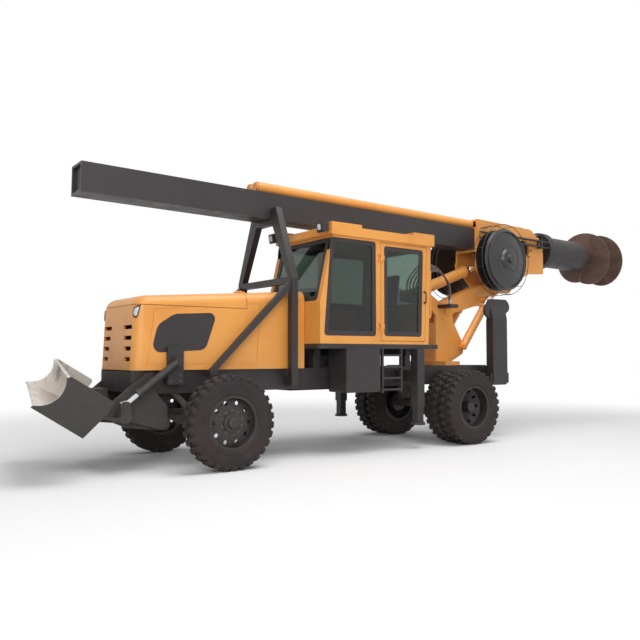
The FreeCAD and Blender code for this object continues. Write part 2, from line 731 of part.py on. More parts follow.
def cab_windows():
    """The window openings as tools that run right through their walls."""
    low, high = "(cab_floor_z + 100)", f"({WALL_TOP} - 28)"
    side = prism("side_window", "XZ", [
        (f"{DOOR_FRONT} + pillar", low, 45), (f"{CAB_FRONT} - 60", low, 45),
        (f"{CAB_FRONT} - cab_lean + 30", high, 45), (f"{DOOR_FRONT} + pillar", high, 45),
    ], "cab_right_y - 60", "cab_left_y + 60")
    rear_side = prism("rear_side_window", "XZ", [
        (f"{DOOR_REAR} + 60", SILL_Z, 45), (f"{DOOR_FRONT} - 20", SILL_Z, 45),
        (f"{DOOR_FRONT} - 20", high, 45), (f"{DOOR_REAR} + 20", high, 45),
    ], "cab_right_y - 60", "cab_right_y + 200")
    front = prism("windshield_hole", "YZ", [
        ("cab_right_y + 70", f"{SILL_Z} + 15", 50), ("cab_left_y - 70", f"{SILL_Z} + 15", 50),
        ("cab_left_y - 70", high, 50), ("cab_right_y + 70", high, 50),
    ], f"{CAB_FRONT} - cab_lean - 120", f"{CAB_FRONT} + 60")
    back = prism("rear_window_hole", "YZ", [
        ("cab_right_y + 110", f"{SILL_Z} + 60", 50), ("cab_left_y - 110", f"{SILL_Z} + 60", 50),
        ("cab_left_y - 110", f"{high} - 30", 50), ("cab_right_y + 110", f"{high} - 30", 50),
    ], f"{CAB_REAR} - 160", f"{CAB_REAR} + 100")
    return side, rear_side, front, back


def leaning_pane(stem, x_low, x_high):
    """A thin slab in the middle of a leaning wall, from the sill to the roof."""
    slab = [
        (f"{x_low} - glass / 2", SILL_Z), (f"{x_low} + glass / 2", SILL_Z),
        (f"{x_high} + glass / 2", WALL_TOP), (f"{x_high} - glass / 2", WALL_TOP),
    ]
    return prism(stem, "XZ", slab, INNER_RIGHT, INNER_LEFT)


def door_outline(gap):
    return [
        (f"{DOOR_REAR} - {gap}", f"{DOOR_LOW} - {gap}"), (f"{DOOR_FRONT} + {gap}", f"{DOOR_LOW} - {gap}"),
        (f"{DOOR_FRONT} + {gap}", f"{DOOR_HIGH} + {gap}"),
        (f"{DOOR_REAR} - cab_back_lean * 0.8 - {gap}", f"{DOOR_HIGH} + {gap}"),
    ]


def door_hinges():
    """Two hinges in front of the door: fixed ears with a pin, and a barrel on the door."""
    x = f"({DOOR_FRONT} + panel_gap / 2)"
    y = "(cab_left_y + hinge_barrel + 3)"
    fixed, moving = [], []
    for share in (0.12, 0.82):
        z = f"({DOOR_LOW} + ({DOOR_HIGH} - {DOOR_LOW}) * {share})"
        fixed.append(rod("door_pin", "z", x, y, f"{z} - 20", "hinge_pin", 100))
        for low in (f"{z} - 20", f"{z} + 60.3"):
            fixed.append(rod("door_ear", "z", x, y, low, "hinge_barrel", 19.7))
            fixed.append(span("door_ear_foot", (x, f"{x} + 45"), ("cab_left_y", f"{y} + 4"), (low, f"{low} + 19.7")))
        barrel = rod("door_barrel", "z", x, y, z, "hinge_barrel", 60)
        leaf = span("door_leaf", (f"{x} - 50", x), ("cab_left_y", f"{y} + 4"), (z, f"{z} + 60"))
        bore = rod("door_bore", "z", x, y, f"{z} - 5", "hinge_pin + fit_gap", 70)
        moving.append(cut("door_hinge", fuse("door_hinge_parts", barrel, leaf), bore))
    return fixed, moving


def cab():
    outer = prism("cab_outer", "XZ", cab_profile("0"), "cab_right_y", "cab_left_y")
    inner = prism("cab_inner", "XZ", cab_profile("cab_wall"), INNER_RIGHT, INNER_LEFT)
    side, rear_side, front, back = cab_windows()
    opening = prism("door_opening", "XZ", door_outline("panel_gap"), f"{INNER_LEFT} - 10", "cab_left_y + 60")
    walls = cut("cab_walls", outer, inner, side, rear_side, front, back, opening)
    fixed, moving = door_hinges()
    node("cab_shell", fuse("cab_shell_parts", walls, *fixed))
    panes = [
        common("windshield", leaning_pane("front_slab", f"{CAB_FRONT} - cab_wall / 2",
                                          f"{CAB_FRONT} - cab_lean - cab_wall / 2"), front),
        common("rear_pane", leaning_pane("rear_slab", f"{CAB_REAR} - cab_back_lean * 0.38 + cab_wall / 2",
                                         f"{CAB_REAR} - cab_back_lean + cab_wall / 2"), back),
    ]
    middle = "(cab_left_y - cab_wall / 2)"
    right = "(cab_right_y + cab_wall / 2)"
    for hole, y in ((side, middle), (side, right), (rear_side, right)):
        slab = span("pane_slab", (f"{CAB_REAR} - 200", f"{CAB_FRONT} + 100"),
                    (f"{y} - glass / 2", f"{y} + glass / 2"), ("cab_floor_z", ROOF_Z))
        panes.append(common("side_pane", slab, hole))
    node("cab_glass", group("cab_panes", *panes))

    rear, front = f"({CAB_REAR} - cab_back_lean - roof_lip)", f"({CAB_FRONT} - cab_lean + roof_lip)"
    wide = ("cab_right_y - roof_lip", "cab_left_y + roof_lip")
    roof = prism("roof", "XZ", [
        (rear, WALL_TOP), (f"{front} + 20", WALL_TOP, 25), (f"{front} - 10", f"{ROOF_Z} - roof_step", 20),
        (rear, f"{ROOF_Z} - roof_step", 20),
    ], *wide)
    blocks = []
    for x0, x1 in ((f"{front} - 480", f"{front} + 8"), (rear, f"{rear} + 390")):
        for y0, y1 in (("cab_left_y - 290", wide[1]), (wide[0], "cab_right_y + 190")):
            blocks.append(span("roof_block", (x0, x1), (y0, y1), (f"{WALL_TOP} + 20", ROOF_Z)))
    node("cab_roof", fuse("roof_parts", roof, *blocks))

    slab = prism("door_slab", "XZ", door_outline("0"), INNER_LEFT, "cab_left_y")
    window = prism("door_window", "XZ", [
        (f"{DOOR_REAR} + 55", f"{DOOR_LOW} + 60", 45), (f"{DOOR_FRONT} - 55", f"{DOOR_LOW} + 60", 45),
        (f"{DOOR_FRONT} - 55", f"{DOOR_HIGH} - 40", 45), (f"{DOOR_REAR} + 15", f"{DOOR_HIGH} - 40", 45),
    ], f"{INNER_LEFT} - 30", "cab_left_y + 30")
    node("cab_door", fuse("cab_door_parts", cut("door_frame", slab, window), *moving))
    pane = span("door_pane_slab", (DOOR_REAR + " - 100", DOOR_FRONT),
                (f"{middle} - glass / 2", f"{middle} + glass / 2"), (DOOR_LOW, DOOR_HIGH))
    node("door_glass", common("door_pane", pane, window))


def cab_inside():
    x, y = f"({CAB_REAR} + 430)", "((cab_left_y + cab_right_y) / 2)"
    floor = "(cab_floor_z + cab_wall)"
    box_low = span("seat_box", (f"{x} - 230", f"{x} + 230"), (f"{y} - 210", f"{y} + 210"), (floor, f"{floor} + 330"))
    cushion = prism("seat_pads", "XZ", [
        (f"{x} - 240", f"{floor} + 330"), (f"{x} + 260", f"{floor} + 330", 30), (f"{x} + 260", f"{floor} + 440", 45),
        (f"{x} - 120", f"{floor} + 440", 40), (f"{x} - 200", f"{floor} + 980", 40),
        (f"{x} - 310", f"{floor} + 980", 40),
    ], f"{y} - 240", f"{y} + 240")
    node("operator_seat", fuse("seat", box_low, cushion))
    front = f"({CAB_FRONT} - 130)"
    column = prism("console_body", "XZ", [
        (f"{front} - 260", floor), (front, floor), (front, f"{floor} + 560", 60),
        (f"{front} - 240", f"{floor} + 600", 60),
        (f"{front} - 200", f"{floor} + 300"),
    ], f"{y} - 190", f"{y} + 190")
    hub = f"({front} - 190)"
    shaft = rod("column", "z", hub, y, f"{floor} + 540", 28, 130)
    wheel = doc.addObject("Part::Torus", "steering_wheel")
    wheel.Radius1, wheel.Radius2 = 195, 15
    place(wheel, hub, y, f"{floor} + 668")
    spoke = span("spoke", (f"{hub} - 20", f"{hub} + 20"), (f"{y} - 195", f"{y} + 195"),
                 (f"{floor} + 655", f"{floor} + 680"))
    node("control_console", fuse("console", column, shaft, wheel, spoke))


def platform():
    """The deck under the cab, its cross beams, the tanks and the steps that hang from it."""
    top, low = "cab_floor_z", "(cab_floor_z - platform)"
    outline_points = [
        (f"{CAB_FRONT} - 0", "-cab_left_y", 120), (f"{CAB_FRONT} - 0", "cab_left_y", 120),
        (f"{CAB_REAR} - 180", "cab_left_y"), (f"{CAB_REAR} - 180", "-cab_left_y"),
    ]
    plate = prism("platform_plate", "XY", outline_points, low, top)
    beams = []
    for station in (f"{CAB_FRONT} - 220", f"({CAB_FRONT} + {CAB_REAR}) / 2", f"{CAB_REAR} + 40"):
        beams.append(span("platform_beam", (f"{station} - 50", f"{station} + 50"),
                          ("-(rail_y + 20)", "rail_y + 20"), (f"{low} - 90", low)))
        for side in (-1, 1):
            beams.append(span("platform_foot", (f"{station} - 50", f"{station} + 50"),
                              (f"{side} * (rail_y - 50) - 50", f"{side} * (rail_y - 50) + 50"),
                              ("frame_top_z", f"{low} - 90")))
    node("cab_platform", fuse("platform", plate, *beams))

    left = prism("tool_box", "XZ", [
        (f"{CAB_FRONT} - 950", f"{low}"), (f"{CAB_FRONT} - 950", "790", 25),
        (f"{CAB_FRONT} - 390", "790", 25), (f"{CAB_FRONT} - 390", f"{low}"),
    ], "rail_y + 40", "cab_left_y + 30")
    node("tool_box", left)
    tank = prism("fuel_tank", "XZ", [
        (f"{CAB_FRONT} - 1350", low), (f"{CAB_FRONT} - 1350", "760", 90),
        (f"{CAB_FRONT} - 390", "760", 90), (f"{CAB_FRONT} - 390", low),
    ], "-(cab_left_y + 10)", "-(rail_y + 40)")
    node("fuel_tank", tank)
    oil = span("oil_tank", (f"{CAB_REAR} + 40", f"{CAB_FRONT} - 260"),
               ("-(cab_left_y - 20)", "cab_right_y - 60"), (top, f"{top} + 620"))
    node("oil_tank", oil)

    x = f"({CAB_FRONT} - 1000)"
    parts = []
    for offset in (0, 330):
        parts.append(span("step_side", (f"{x} - {offset} - 25", f"{x} - {offset}"),
                          ("cab_left_y - 25", "cab_left_y + 15"), ("770", low)))
    for level in (0, 1, 2, 3):
        parts.append(span("step_tread", (f"{x} - 330", x), ("cab_left_y - 25", "cab_left_y + 15"),
                          (f"800 + {level} * 150", f"825 + {level} * 150")))
    node("cab_steps", fuse("steps", *parts))


# ---------------------------------------------------------------- mast rest
def mast_rest():
    """The gallows ahead of the cab that carries the mast on the road."""
    post = "rest_post"
    tube_half = "(mast_tube / 2)"
    rise = f"({REST_X} - {post} / 2 - {PIN_X}) * tan(mast_slope * 1 deg)"
    cradle_z = f"({MAST_Z} - {tube_half} / cos(mast_slope * 1 deg) - rest_gap + {rise})"
    x = (f"{REST_X} - {post} / 2", f"{REST_X} + {post} / 2")
    top_y = f"({tube_half} + 20)"
    left = prism("rest_leg", "YZ", [
        (f"{REST_Y} - 45", "frame_bottom_z + 50"), (f"{REST_Y} + 45", "frame_bottom_z + 50"),
        (f"{REST_Y} + 45", "rest_knee_z + 10"),
        (f"{top_y} + 95", f"{MAST_Z} + 30"), (f"{top_y}", f"{MAST_Z} + 30"), (f"{top_y}", f"{cradle_z} - 60"),
        (f"{REST_Y} - 45", "rest_knee_z - 10"),
    ], *x)
    bar = span("rest_bar", x, (f"-{REST_Y}", REST_Y), ("rest_knee_z - 60", "rest_knee_z + 20"))
    saddle = span("rest_saddle", x, (f"-{top_y}", top_y), (f"{cradle_z} - 70", cradle_z))
    foot = span("rest_foot", x, ("rail_y", f"{REST_Y} + 45"), ("frame_bottom_z + 50", "frame_bottom_z + 160"))
    brace_x0, brace_z0 = "(front_axle_x + 20)", "frame_top_z"
    brace = prism("rest_brace", "XZ", [
        (f"{REST_X}", "rest_knee_z - 90"), (f"{REST_X}", "rest_knee_z + 20"),
        (f"{brace_x0} + 60", brace_z0), (f"{brace_x0} - 20", brace_z0),
    ], f"{REST_Y} - 40", f"{REST_Y} + 30")
    brace_foot = span("brace_foot", (f"{brace_x0} - 30", f"{brace_x0} + 70"), ("rail_y", f"{REST_Y} + 30"),
                      ("frame_top_z - 60", brace_z0))
    half = [left, foot, brace, brace_foot]
    parts = half + [mirror("rest_part", p) for p in half] + [bar, saddle]
    node("mast_rest", fuse("rest", *parts))


# ---------------------------------------------------------------- boom and its linkage
def ring(stem, x, z, y, radius, width):
    return rod(stem, "y", x, f"{y} - ({width}) / 2", z, radius, width)


def turret():
    deck = "(frame_top_z + deck_plate)"
    plate = prism("turret_plate", "XZ", [
        (f"{BOOM_X} + 250", deck), (f"{BOOM_X} + 235", "boom_pivot_z - 60"),
        (f"{TILT_BASE_X} - 130", f"{TILT_BASE_Z} - 120", 60),
        (f"{TILT_BASE_X} + 75", f"{TILT_BASE_Z} - 90", 50), (f"{TILT_BASE_X} + 75", f"{TILT_BASE_Z} + 75", 60),
        (f"{TILT_BASE_X} - 90", f"{TILT_BASE_Z} + 75", 60), (f"{BOOM_X} + 120", "boom_pivot_z + 130", 60),
        (f"{BOOM_X} - 120", "boom_pivot_z + 130", 110), (f"{BOOM_X} - 140", "boom_pivot_z - 140", 60),
        (f"{LIFT_BASE_X} - 90", f"{LIFT_BASE_Z} + 40", 60), (f"{LIFT_BASE_X} - 90", f"{LIFT_BASE_Z} - 110", 60),
        (f"{BOOM_X} + 30", deck),
    ], "boom_half + 15", "boom_half + 15 + turret_plate")
    base = span("turret_base", (f"{BOOM_X} - 10", f"{BOOM_X} + 300"), ("-(rail_y - 40)", "rail_y - 40"),
                (deck, f"{deck} + 60"))
    wall = span("turret_wall", (f"{BOOM_X} + 190", f"{BOOM_X} + 230"), ("-(boom_half + 20)", "boom_half + 20"),
                (deck, "boom_pivot_z - 170"))
    y0 = "(boom_half + 15)"
    pins = [
        rod("boom_pin", "y", BOOM_X, f"-({y0} + turret_plate + 18)", "boom_pivot_z", "boom_pin",
            f"2 * ({y0} + turret_plate + 18)"),
        rod("tilt_pin", "y", TILT_BASE_X, f"-({y0} + turret_plate + 12)", TILT_BASE_Z, "cylinder_pin",
            f"2 * ({y0} + turret_plate + 12)"),
        rod("lift_pin", "y", LIFT_BASE_X, "-(cylinder_y + 55)", LIFT_BASE_Z, "cylinder_pin", "2 * (cylinder_y + 55)"),
    ]
    node("turret", fuse("turret_parts", plate, mirror("turret_plate_right", plate), base, wall, *pins))


def boom():
    side = prism("boom_beam", "XZ", [
        (f"{BOOM_X} + 110", "boom_pivot_z - 90", 80), (f"{BOOM_X} + 90", "boom_pivot_z + 110", 90),
        (f"{PIN_X} + 250", f"{PIN_Z} + 60", 60), (f"{PIN_X} + 20", f"{PIN_Z} + 105", 60),
        (f"{PIN_X} - 105", f"{PIN_Z}", 80), (f"{PIN_X} - 10", f"{PIN_Z} - 110", 80),
        (f"{LIFT_EYE_X} - 60", f"{LIFT_EYE_Z} - 90", 60), (f"{LIFT_EYE_X} + 180", f"{LIFT_EYE_Z} - 110", 60),
    ], "-boom_half", "boom_half")
    bore = rod("boom_bore", "y", BOOM_X, "-200", "boom_pivot_z", "boom_pin + fit_gap", 400)
    tip_bore = rod("tip_bore", "y", PIN_X, "-200", PIN_Z, "boom_pin + fit_gap", 400)
    reach = "2 * (cylinder_y - cylinder_radius * 0.65 - rest_gap)"
    eye = rod("lift_eye_pin", "y", LIFT_EYE_X, f"-({reach}) / 2", LIFT_EYE_Z, "cylinder_pin + 14", reach)
    node("boom", fuse("boom_parts", cut("boom_cut", side, bore, tip_bore), eye))


def cylinder_parts(stem, length, barrel, y, radius, bar, pin):
    """A hydraulic cylinder along +X: the barrel turns on the first pin, the rod's eye stands at the second."""
    eye_width = f"({radius}) * 1.3"
    tube = rod(f"{stem}_tube", "x", "0", y, "0", radius, barrel)
    collar = rod(f"{stem}_collar", "x", f"({barrel}) - 45", y, "0", f"({radius}) + 10", 45)
    base_eye = ring(f"{stem}_base_eye", "0", "0", y, f"({pin}) + 26", eye_width)
    bore = rod(f"{stem}_bore", "x", f"({pin}) + 45", y, "0", f"({bar}) + rest_gap", barrel)
    pin_hole = ring(f"{stem}_base_hole", "0", "0", y, f"({pin}) + fit_gap", "300")
    body = cut(f"{stem}_barrel", fuse(f"{stem}_barrel_parts", tube, collar, base_eye), bore, pin_hole)
    stroke_start = f"({pin}) + 55"
    bar_piece = rod(f"{stem}_bar", "x", stroke_start, y, "0", bar, f"({length}) - ({stroke_start}) - ({pin})")
    rod_eye = ring(f"{stem}_rod_eye", length, "0", y, f"({pin}) + 26", eye_width)
    return body, fuse(f"{stem}_rod", bar_piece, rod_eye)


def lift_cylinders():
    length = pin_distance(LIFT_BASE_X, LIFT_BASE_Z, LIFT_EYE_X, LIFT_EYE_Z)
    body, plunger = cylinder_parts("lift", length, f"{length} - 150", "cylinder_y", "cylinder_radius",
                                   "cylinder_rod", "cylinder_pin")
    ends = (LIFT_BASE_X, LIFT_BASE_Z, LIFT_EYE_X, LIFT_EYE_Z)
    node("lift_barrels", lay_along(pair("lift_barrel_pair", body), *ends))
    node("lift_rods", lay_along(pair("lift_rod_pair", plunger), *ends))


def tilt_cylinder():
    ends = (TILT_BASE_X, TILT_BASE_Z, TILT_EYE_X, TILT_EYE_Z)
    length = pin_distance(*ends)
    body, plunger = cylinder_parts("tilt", length, f"{length} - 170", "0", "cylinder_radius + 24",
                                   "cylinder_rod + 8", "cylinder_pin")
    node("tilt_barrel", lay_along(body, *ends))
    node("tilt_rod", lay_along(plunger, *ends))


# ---------------------------------------------------------------- mast
def leaning(item):
    """Leans a piece of the level mast about the mast pin by the slope at which it is carried."""
    item.Placement = Placement(Vector(), Rotation(Vector(0, -1, 0), 1))
    bind(item, "Placement.Rotation.Angle", "mast_slope * 1 deg")
    cosine, sine = "cos(mast_slope * 1 deg)", "sin(mast_slope * 1 deg)"
    return place(item, f"{PIN_X} * (1 - {cosine}) + {PIN_Z} * {sine}", 0,
                 f"{PIN_Z} * (1 - {cosine}) - {PIN_X} * {sine}")


SLOPE_COS, SLOPE_SIN = "cos(mast_slope * 1 deg)", "sin(mast_slope * 1 deg)"
LUG_X = f"({PIN_X} + lug_out * {SLOPE_COS} + lug_up * {SLOPE_SIN})"
LUG_Z = f"({PIN_Z} + lug_up * {SLOPE_COS} - lug_out * {SLOPE_SIN})"
TUBE_HALF = "(mast_tube / 2)"
KELLY_HALF = "(mast_tube / 2 - mast_wall - kelly_gap)"


def square_tube(stem, x0, x1, half, wall):
    outer = span(f"{stem}_outer", (x0, x1), (f"-{half}", half), (f"{MAST_Z} - {half}", f"{MAST_Z} + {half}"))
    inside = f"({half} - {wall})"
    inner = span(f"{stem}_inner", (f"{x0} - 10", f"{x1} + 10"), (f"-{inside}", inside),
                 (f"{MAST_Z} - {inside}", f"{MAST_Z} + {inside}"))
    return cut(stem, outer, inner)


def mast_tube():
    tube = square_tube("mast_box", f"{HOUSING_REAR} + 60", MAST_NOSE, TUBE_HALF, "mast_wall")
    cap = span("mast_cap", (f"{MAST_NOSE} - 60", f"{MAST_NOSE} - 40"), (f"-{TUBE_HALF} + 5", f"{TUBE_HALF} - 5"),
               (f"{MAST_Z} - {TUBE_HALF} + 5", f"{MAST_Z} + {TUBE_HALF} - 5"))
    node("mast_tube", leaning(fuse("mast_tube_parts", tube, cap)))


def mast_housing():
    low_front = f"({MAST_Z} - {TUBE_HALF} - 45)"
    cheek = prism("housing_cheek", "XZ", [
        (HOUSING_FRONT, low_front), (HOUSING_FRONT, f"{CROWD_Z} + crowd_radius"),
        (f"{HOUSING_REAR} + 330", f"{CROWD_Z} + crowd_radius - 20", 200),
        (f"{HOUSING_REAR} + 10", f"{MAST_Z} + 60", 260),
        (HOUSING_REAR, f"{MAST_Z} - 450", 25), (f"{HOUSING_REAR} + 400", f"{MAST_Z} - 480", 60),
        (f"{PIN_X} - 230", f"{PIN_Z} + 60", 120), (f"{PIN_X} - 150", f"{PIN_Z} - 130", 120),
        (f"{PIN_X} + 160", f"{PIN_Z} - 130", 120), (f"{LUG_X} - 60", f"{LUG_Z} - 110", 100),
        (f"{LUG_X} + 110", f"{LUG_Z} - 70", 90),
    ], CHEEK_Y, f"{CHEEK_Y} + housing_plate")
    round_hole = rod("cheek_hole", "y", f"{PIN_X} - 520", f"{CHEEK_Y} - 20", f"{MAST_Z} - 60", "150",
                     "housing_plate + 40")
    pin_hole = rod("cheek_pin_hole", "y", PIN_X, f"{CHEEK_Y} - 20", PIN_Z, "boom_pin + fit_gap", "housing_plate + 40")
    cheek = cut("housing_cheek_cut", cheek, round_hole, pin_hole)
    wide = (f"-{CHEEK_Y}", CHEEK_Y)
    top = span("housing_top", (f"{HOUSING_REAR} + 500", HOUSING_FRONT), wide,
               (f"{CROWD_Z} + crowd_radius - 30", f"{CROWD_Z} + crowd_radius"))
    plates = []
    for station in (f"{HOUSING_FRONT} - 40", f"{HOUSING_REAR} + 60", f"({HOUSING_FRONT} + {HOUSING_REAR}) / 2"):
        wall = span("housing_wall", (station, f"{station} + 40"), wide,
                    (f"{MAST_Z} - {TUBE_HALF} - 40", f"{MAST_Z} + {TUBE_HALF} + 20"))
        hole = span("housing_hole", (f"{station} - 10", f"{station} + 50"), (f"-{TUBE_HALF}", TUBE_HALF),
                    (f"{MAST_Z} - {TUBE_HALF}", f"{MAST_Z} + {TUBE_HALF}"))
        plates.append(cut("housing_frame", wall, hole))
    eye_half = "((cylinder_radius + 24) * 0.65 + rest_gap)"
    lug_pin = rod("lug_pin", "y", LUG_X, eye_half, LUG_Z, "cylinder_pin + 14", f"{CHEEK_Y} + 5 - {eye_half}")
    stub = rod("reel_stub", "y", f"{PIN_X} + reel_ahead", CHEEK_Y, "reel_z", "45", f"reel_y - {CHEEK_Y}")
    left = [cheek, lug_pin, stub]
    parts = left + [mirror("housing_part", p) for p in left] + [top, *plates]
    node("mast_housing", leaning(fuse("housing_parts", *parts)))


def crowd_cylinders():
    tube = rod("crowd_tube", "x", f"{HOUSING_FRONT}", "crowd_spacing", CROWD_Z, "crowd_radius", "crowd_length")
    cap = rod("crowd_cap", "x", f"{HOUSING_FRONT} + crowd_length", "crowd_spacing", CROWD_Z,
              "crowd_radius - 12", "25")
    bore = rod("crowd_bore", "x", f"{HOUSING_FRONT} - 10", "crowd_spacing", CROWD_Z, "crowd_rod + rest_gap",
               "crowd_length - 40")
    node("crowd_cylinders", leaning(pair("crowd_pair", cut("crowd_barrel", fuse("crowd_parts", tube, cap), bore))))


def hose_reels():
    """A drum between two dished flanges on each side of the mast, inside a fixed wire guard."""
    width = "reel_width"
    profile = [
        (46, "0"), ("reel_radius", "0"), ("reel_radius", "10"), ("reel_radius * 0.45", "18"),
        ("reel_radius * 0.45", f"{width} - 22"), ("reel_radius", f"{width} - 12"), ("reel_radius", width),
        ("reel_radius * 0.93", f"{width} + 26", 20), ("reel_radius * 0.55", f"{width} + 48", 40),
        ("reel_radius * 0.36", f"{width} + 52", 20), ("reel_radius * 0.3", f"{width} + 92", 15),
        ("75", f"{width} + 100", 15), ("66", f"{width} + reel_hub", 10),
        (0, f"{width} + reel_hub"), (0, f"{width} - 20"), (46, f"{width} - 20"),
    ]
    reel = turned("reel", profile, f"{PIN_X} + reel_ahead", "reel_y + rest_gap", "reel_z")
    node("hose_reels", leaning(pair("reel_pair", reel)))


def reel_guard():
    """A light cage of round wire round the rim of the left reel, held off the housing by three legs."""
    x, inner, outer = f"({PIN_X} + reel_ahead)", "(reel_y + 15)", "(reel_y + reel_width)"
    wires = []
    for y in (inner, outer):
        hoop = doc.addObject("Part::Torus", fresh("guard_hoop"))
        hoop.Placement = Placement(Vector(), Rotation(Vector(1, 0, 0), 90))
        bind(hoop, "Radius1", "guard_radius")
        bind(hoop, "Radius2", "guard_wire")
        wires.append(place(hoop, x, y, "reel_z"))
    count = 12
    for i in range(count):
        turn = 2 * math.pi * (i + 0.5) / count
        side = f"{math.cos(turn):.6f}"
        rise = f"{math.sin(turn):.6f}"
        wires.append(rod("guard_bar", "y", f"{x} + (guard_radius - 3) * {side}", inner,
                         f"reel_z + (guard_radius - 3) * {rise}", "guard_wire - 1", f"{outer} - {inner} + 2"))
    for degrees in (75, 160, 200):
        side, rise = (f"{f(math.radians(degrees)):.6f}" for f in (math.cos, math.sin))
        wires.append(rod("guard_leg", "y", f"{x} + guard_radius * {side}", f"{CHEEK_Y} + housing_plate",
                         f"reel_z + guard_radius * {rise}", "guard_wire + 3",
                         f"{inner} - {CHEEK_Y} - housing_plate + 3"))
    return fuse("guard", *wires)


def swept(stem, corners, y, radius, bend):
    """A round bar or hose in an XZ plane: straight runs between corners, each corner rounded to one bend radius."""
    spine = doc.addObject("Sketcher::SketchObject", fresh(f"{stem}_route"))
    spine.Placement = Placement(Vector(0, y, 0), Rotation(Vector(1, 0, 0), 90))
    points = [Vector(px, pz, 0) for px, pz in corners]
    start = points[0]
    for before, corner, after in zip(points, points[1:], points[2:]):
        back, ahead = (before - corner).normalize(), (after - corner).normalize()
        half = back.getAngle(ahead) / 2
        reach = bend / math.tan(half)
        first, last = corner + back * reach, corner + ahead * reach
        middle = corner + (back + ahead).normalize() * (bend / math.sin(half) - bend)
        if (first - start).Length > 0.01:
            spine.addGeometry(Part.LineSegment(start, first), False)
        spine.addGeometry(Part.Arc(first, middle, last), False)
        start = last
    spine.addGeometry(Part.LineSegment(start, points[-1]), False)
    doc.recompute()
    section = doc.addObject("Part::Circle", fresh(f"{stem}_section"))
    bind(section, "Radius", radius)
    heading = points[1] - points[0]
    section.Placement = Placement(Vector(points[0].x, y, points[0].y),
                                  Rotation(Vector(0, 0, 1), Vector(heading.x, 0, heading.y)))
    sweep = doc.addObject("Part::Sweep", fresh(stem))
    sweep.Sections = [section]
    sweep.Spine = (spine, [f"Edge{i + 1}" for i in range(spine.GeometryCount)])
    sweep.Solid = True
    return sweep


def hose_bundle():
    """Five hoses that rise behind the cab, arch over and come down to the boom's foot, one inside the other."""
    rear_x, rear_z, front_z, arch_z = -200, 2035, 2100, 2190
    hoses = []
    for i in range(5):
        bend = 440 - 30 * i
        back, front, top = rear_x - bend, rear_x + bend, arch_z + bend
        hoses.append(swept("bundle_hose", [(back, rear_z), (back, top), (front, top), (front, front_z)],
                           290 + 36 * i, "bundle_radius", bend))
    node("hose_bundle", group("bundle", *hoses))


def mast_hoses():
    """The straight run of hose from each reel to the guide at the back of the housing, and the reel's guard."""
    side = f"({CHEEK_Y} + housing_plate)"
    start = f"({HOUSING_REAR} + 140)"
    runs = []
    for drop in (0, 95):
        runs.append(rod("fixed_hose", "x", start, f"{side} + 75", f"{MAST_Z} + 105 - {drop}", "hose_radius",
                        dx(start, f"{PIN_X} + reel_ahead - 50")))
    guide = span("hose_guide", (start, f"{start} + 40"), (side, f"{side} + 95"),
                 (f"{MAST_Z} - 20", f"{MAST_Z} + 135"))
    slot = span("guide_slot", (f"{start} - 10", f"{start} + 50"), (f"{side} + 20", f"{side} + 58"),
                (f"{MAST_Z} - 10", f"{MAST_Z} + 125"))
    fixed = fuse("fixed_hoses", cut("guide", guide, slot), *runs)
    node("mast_hoses", leaning(pair("hose_pair", group("hoses_and_guard", fixed, reel_guard()))))


def drive():
    """The rotary drive at the foot of the mast, on the inner kelly tube and the crowd rods."""
    tube = square_tube("kelly_box", COLLAR_X, f"{HOUSING_REAR} + kelly_inside", KELLY_HALF, "kelly_wall")
    rods = []
    for side in (-1, 1):
        rods.append(rod("crowd_bar", "x", COLLAR_X, f"{side} * crowd_spacing", CROWD_Z, "crowd_rod",
                        dx(COLLAR_X, f"{HOUSING_FRONT} + feed_travel + 300")))
    node("kelly_tube", leaning(group("kelly_parts", tube, *rods)))

    def along_x(profile, stem):
        """Turned about X: the profile is (along, radius) in the XZ plane, measured from the mast axis."""
        body = doc.addObject("PartDesign::Body", fresh(stem))
        sketch = outline(body, "XZ", 0, profile)
        spin = body.newObject("PartDesign::Revolution", fresh(f"{stem}_turn"))
        spin.Profile = sketch
        spin.ReferenceAxis = (sketch, ["H_Axis"])
        spin.Angle = 360
        return place(body, 0, 0, MAST_Z)

    drum = along_x([
        (DRUM_END, 0), (DRUM_END, "drum_radius - 15"), (f"{DRUM_END} + 20", "drum_radius"), (DRUM_X, "drum_radius"),
        (f"{DRUM_X} + 30", "drum_radius + 50", 15), (f"{COLLAR_X}", "drum_radius + 50", 15), (COLLAR_X, 0),
    ], "drum")
    ear = span("drum_ear", (f"{COLLAR_X} - 60", COLLAR_X), ("-(crowd_spacing + 55)", "crowd_spacing + 55"),
               (f"{MAST_Z} + drum_radius", f"{CROWD_Z} + 55"))
    ports = []
    for drop in (0, 95):
        ports.append(rod("hose_port", "x", f"{COLLAR_X} - 30", f"{CHEEK_Y} + housing_plate + 39",
                         f"{MAST_Z} + 105 - {drop}",
                         "hose_radius + 8", 70))
    left = [*ports, span("port_block", (f"{COLLAR_X} - 90", f"{COLLAR_X} - 30"),
                         ("100", f"{CHEEK_Y} + housing_plate + 65"),
                         (f"{MAST_Z} - 20", f"{MAST_Z} + 135"))]
    node("rotary_drive", leaning(fuse("drive_parts", drum, ear, *left, *[mirror("port_right", p) for p in left])))
    hoses = []
    for drop in (0, 95):
        hoses.append(rod("moving_hose", "x", f"{COLLAR_X} + 40", f"{CHEEK_Y} + housing_plate + 39",
                         f"{MAST_Z} + 105 - {drop}", "hose_radius", "feed_travel + 60"))
    node("drive_hoses", leaning(pair("moving_hoses", group("moving_pair", *hoses))))


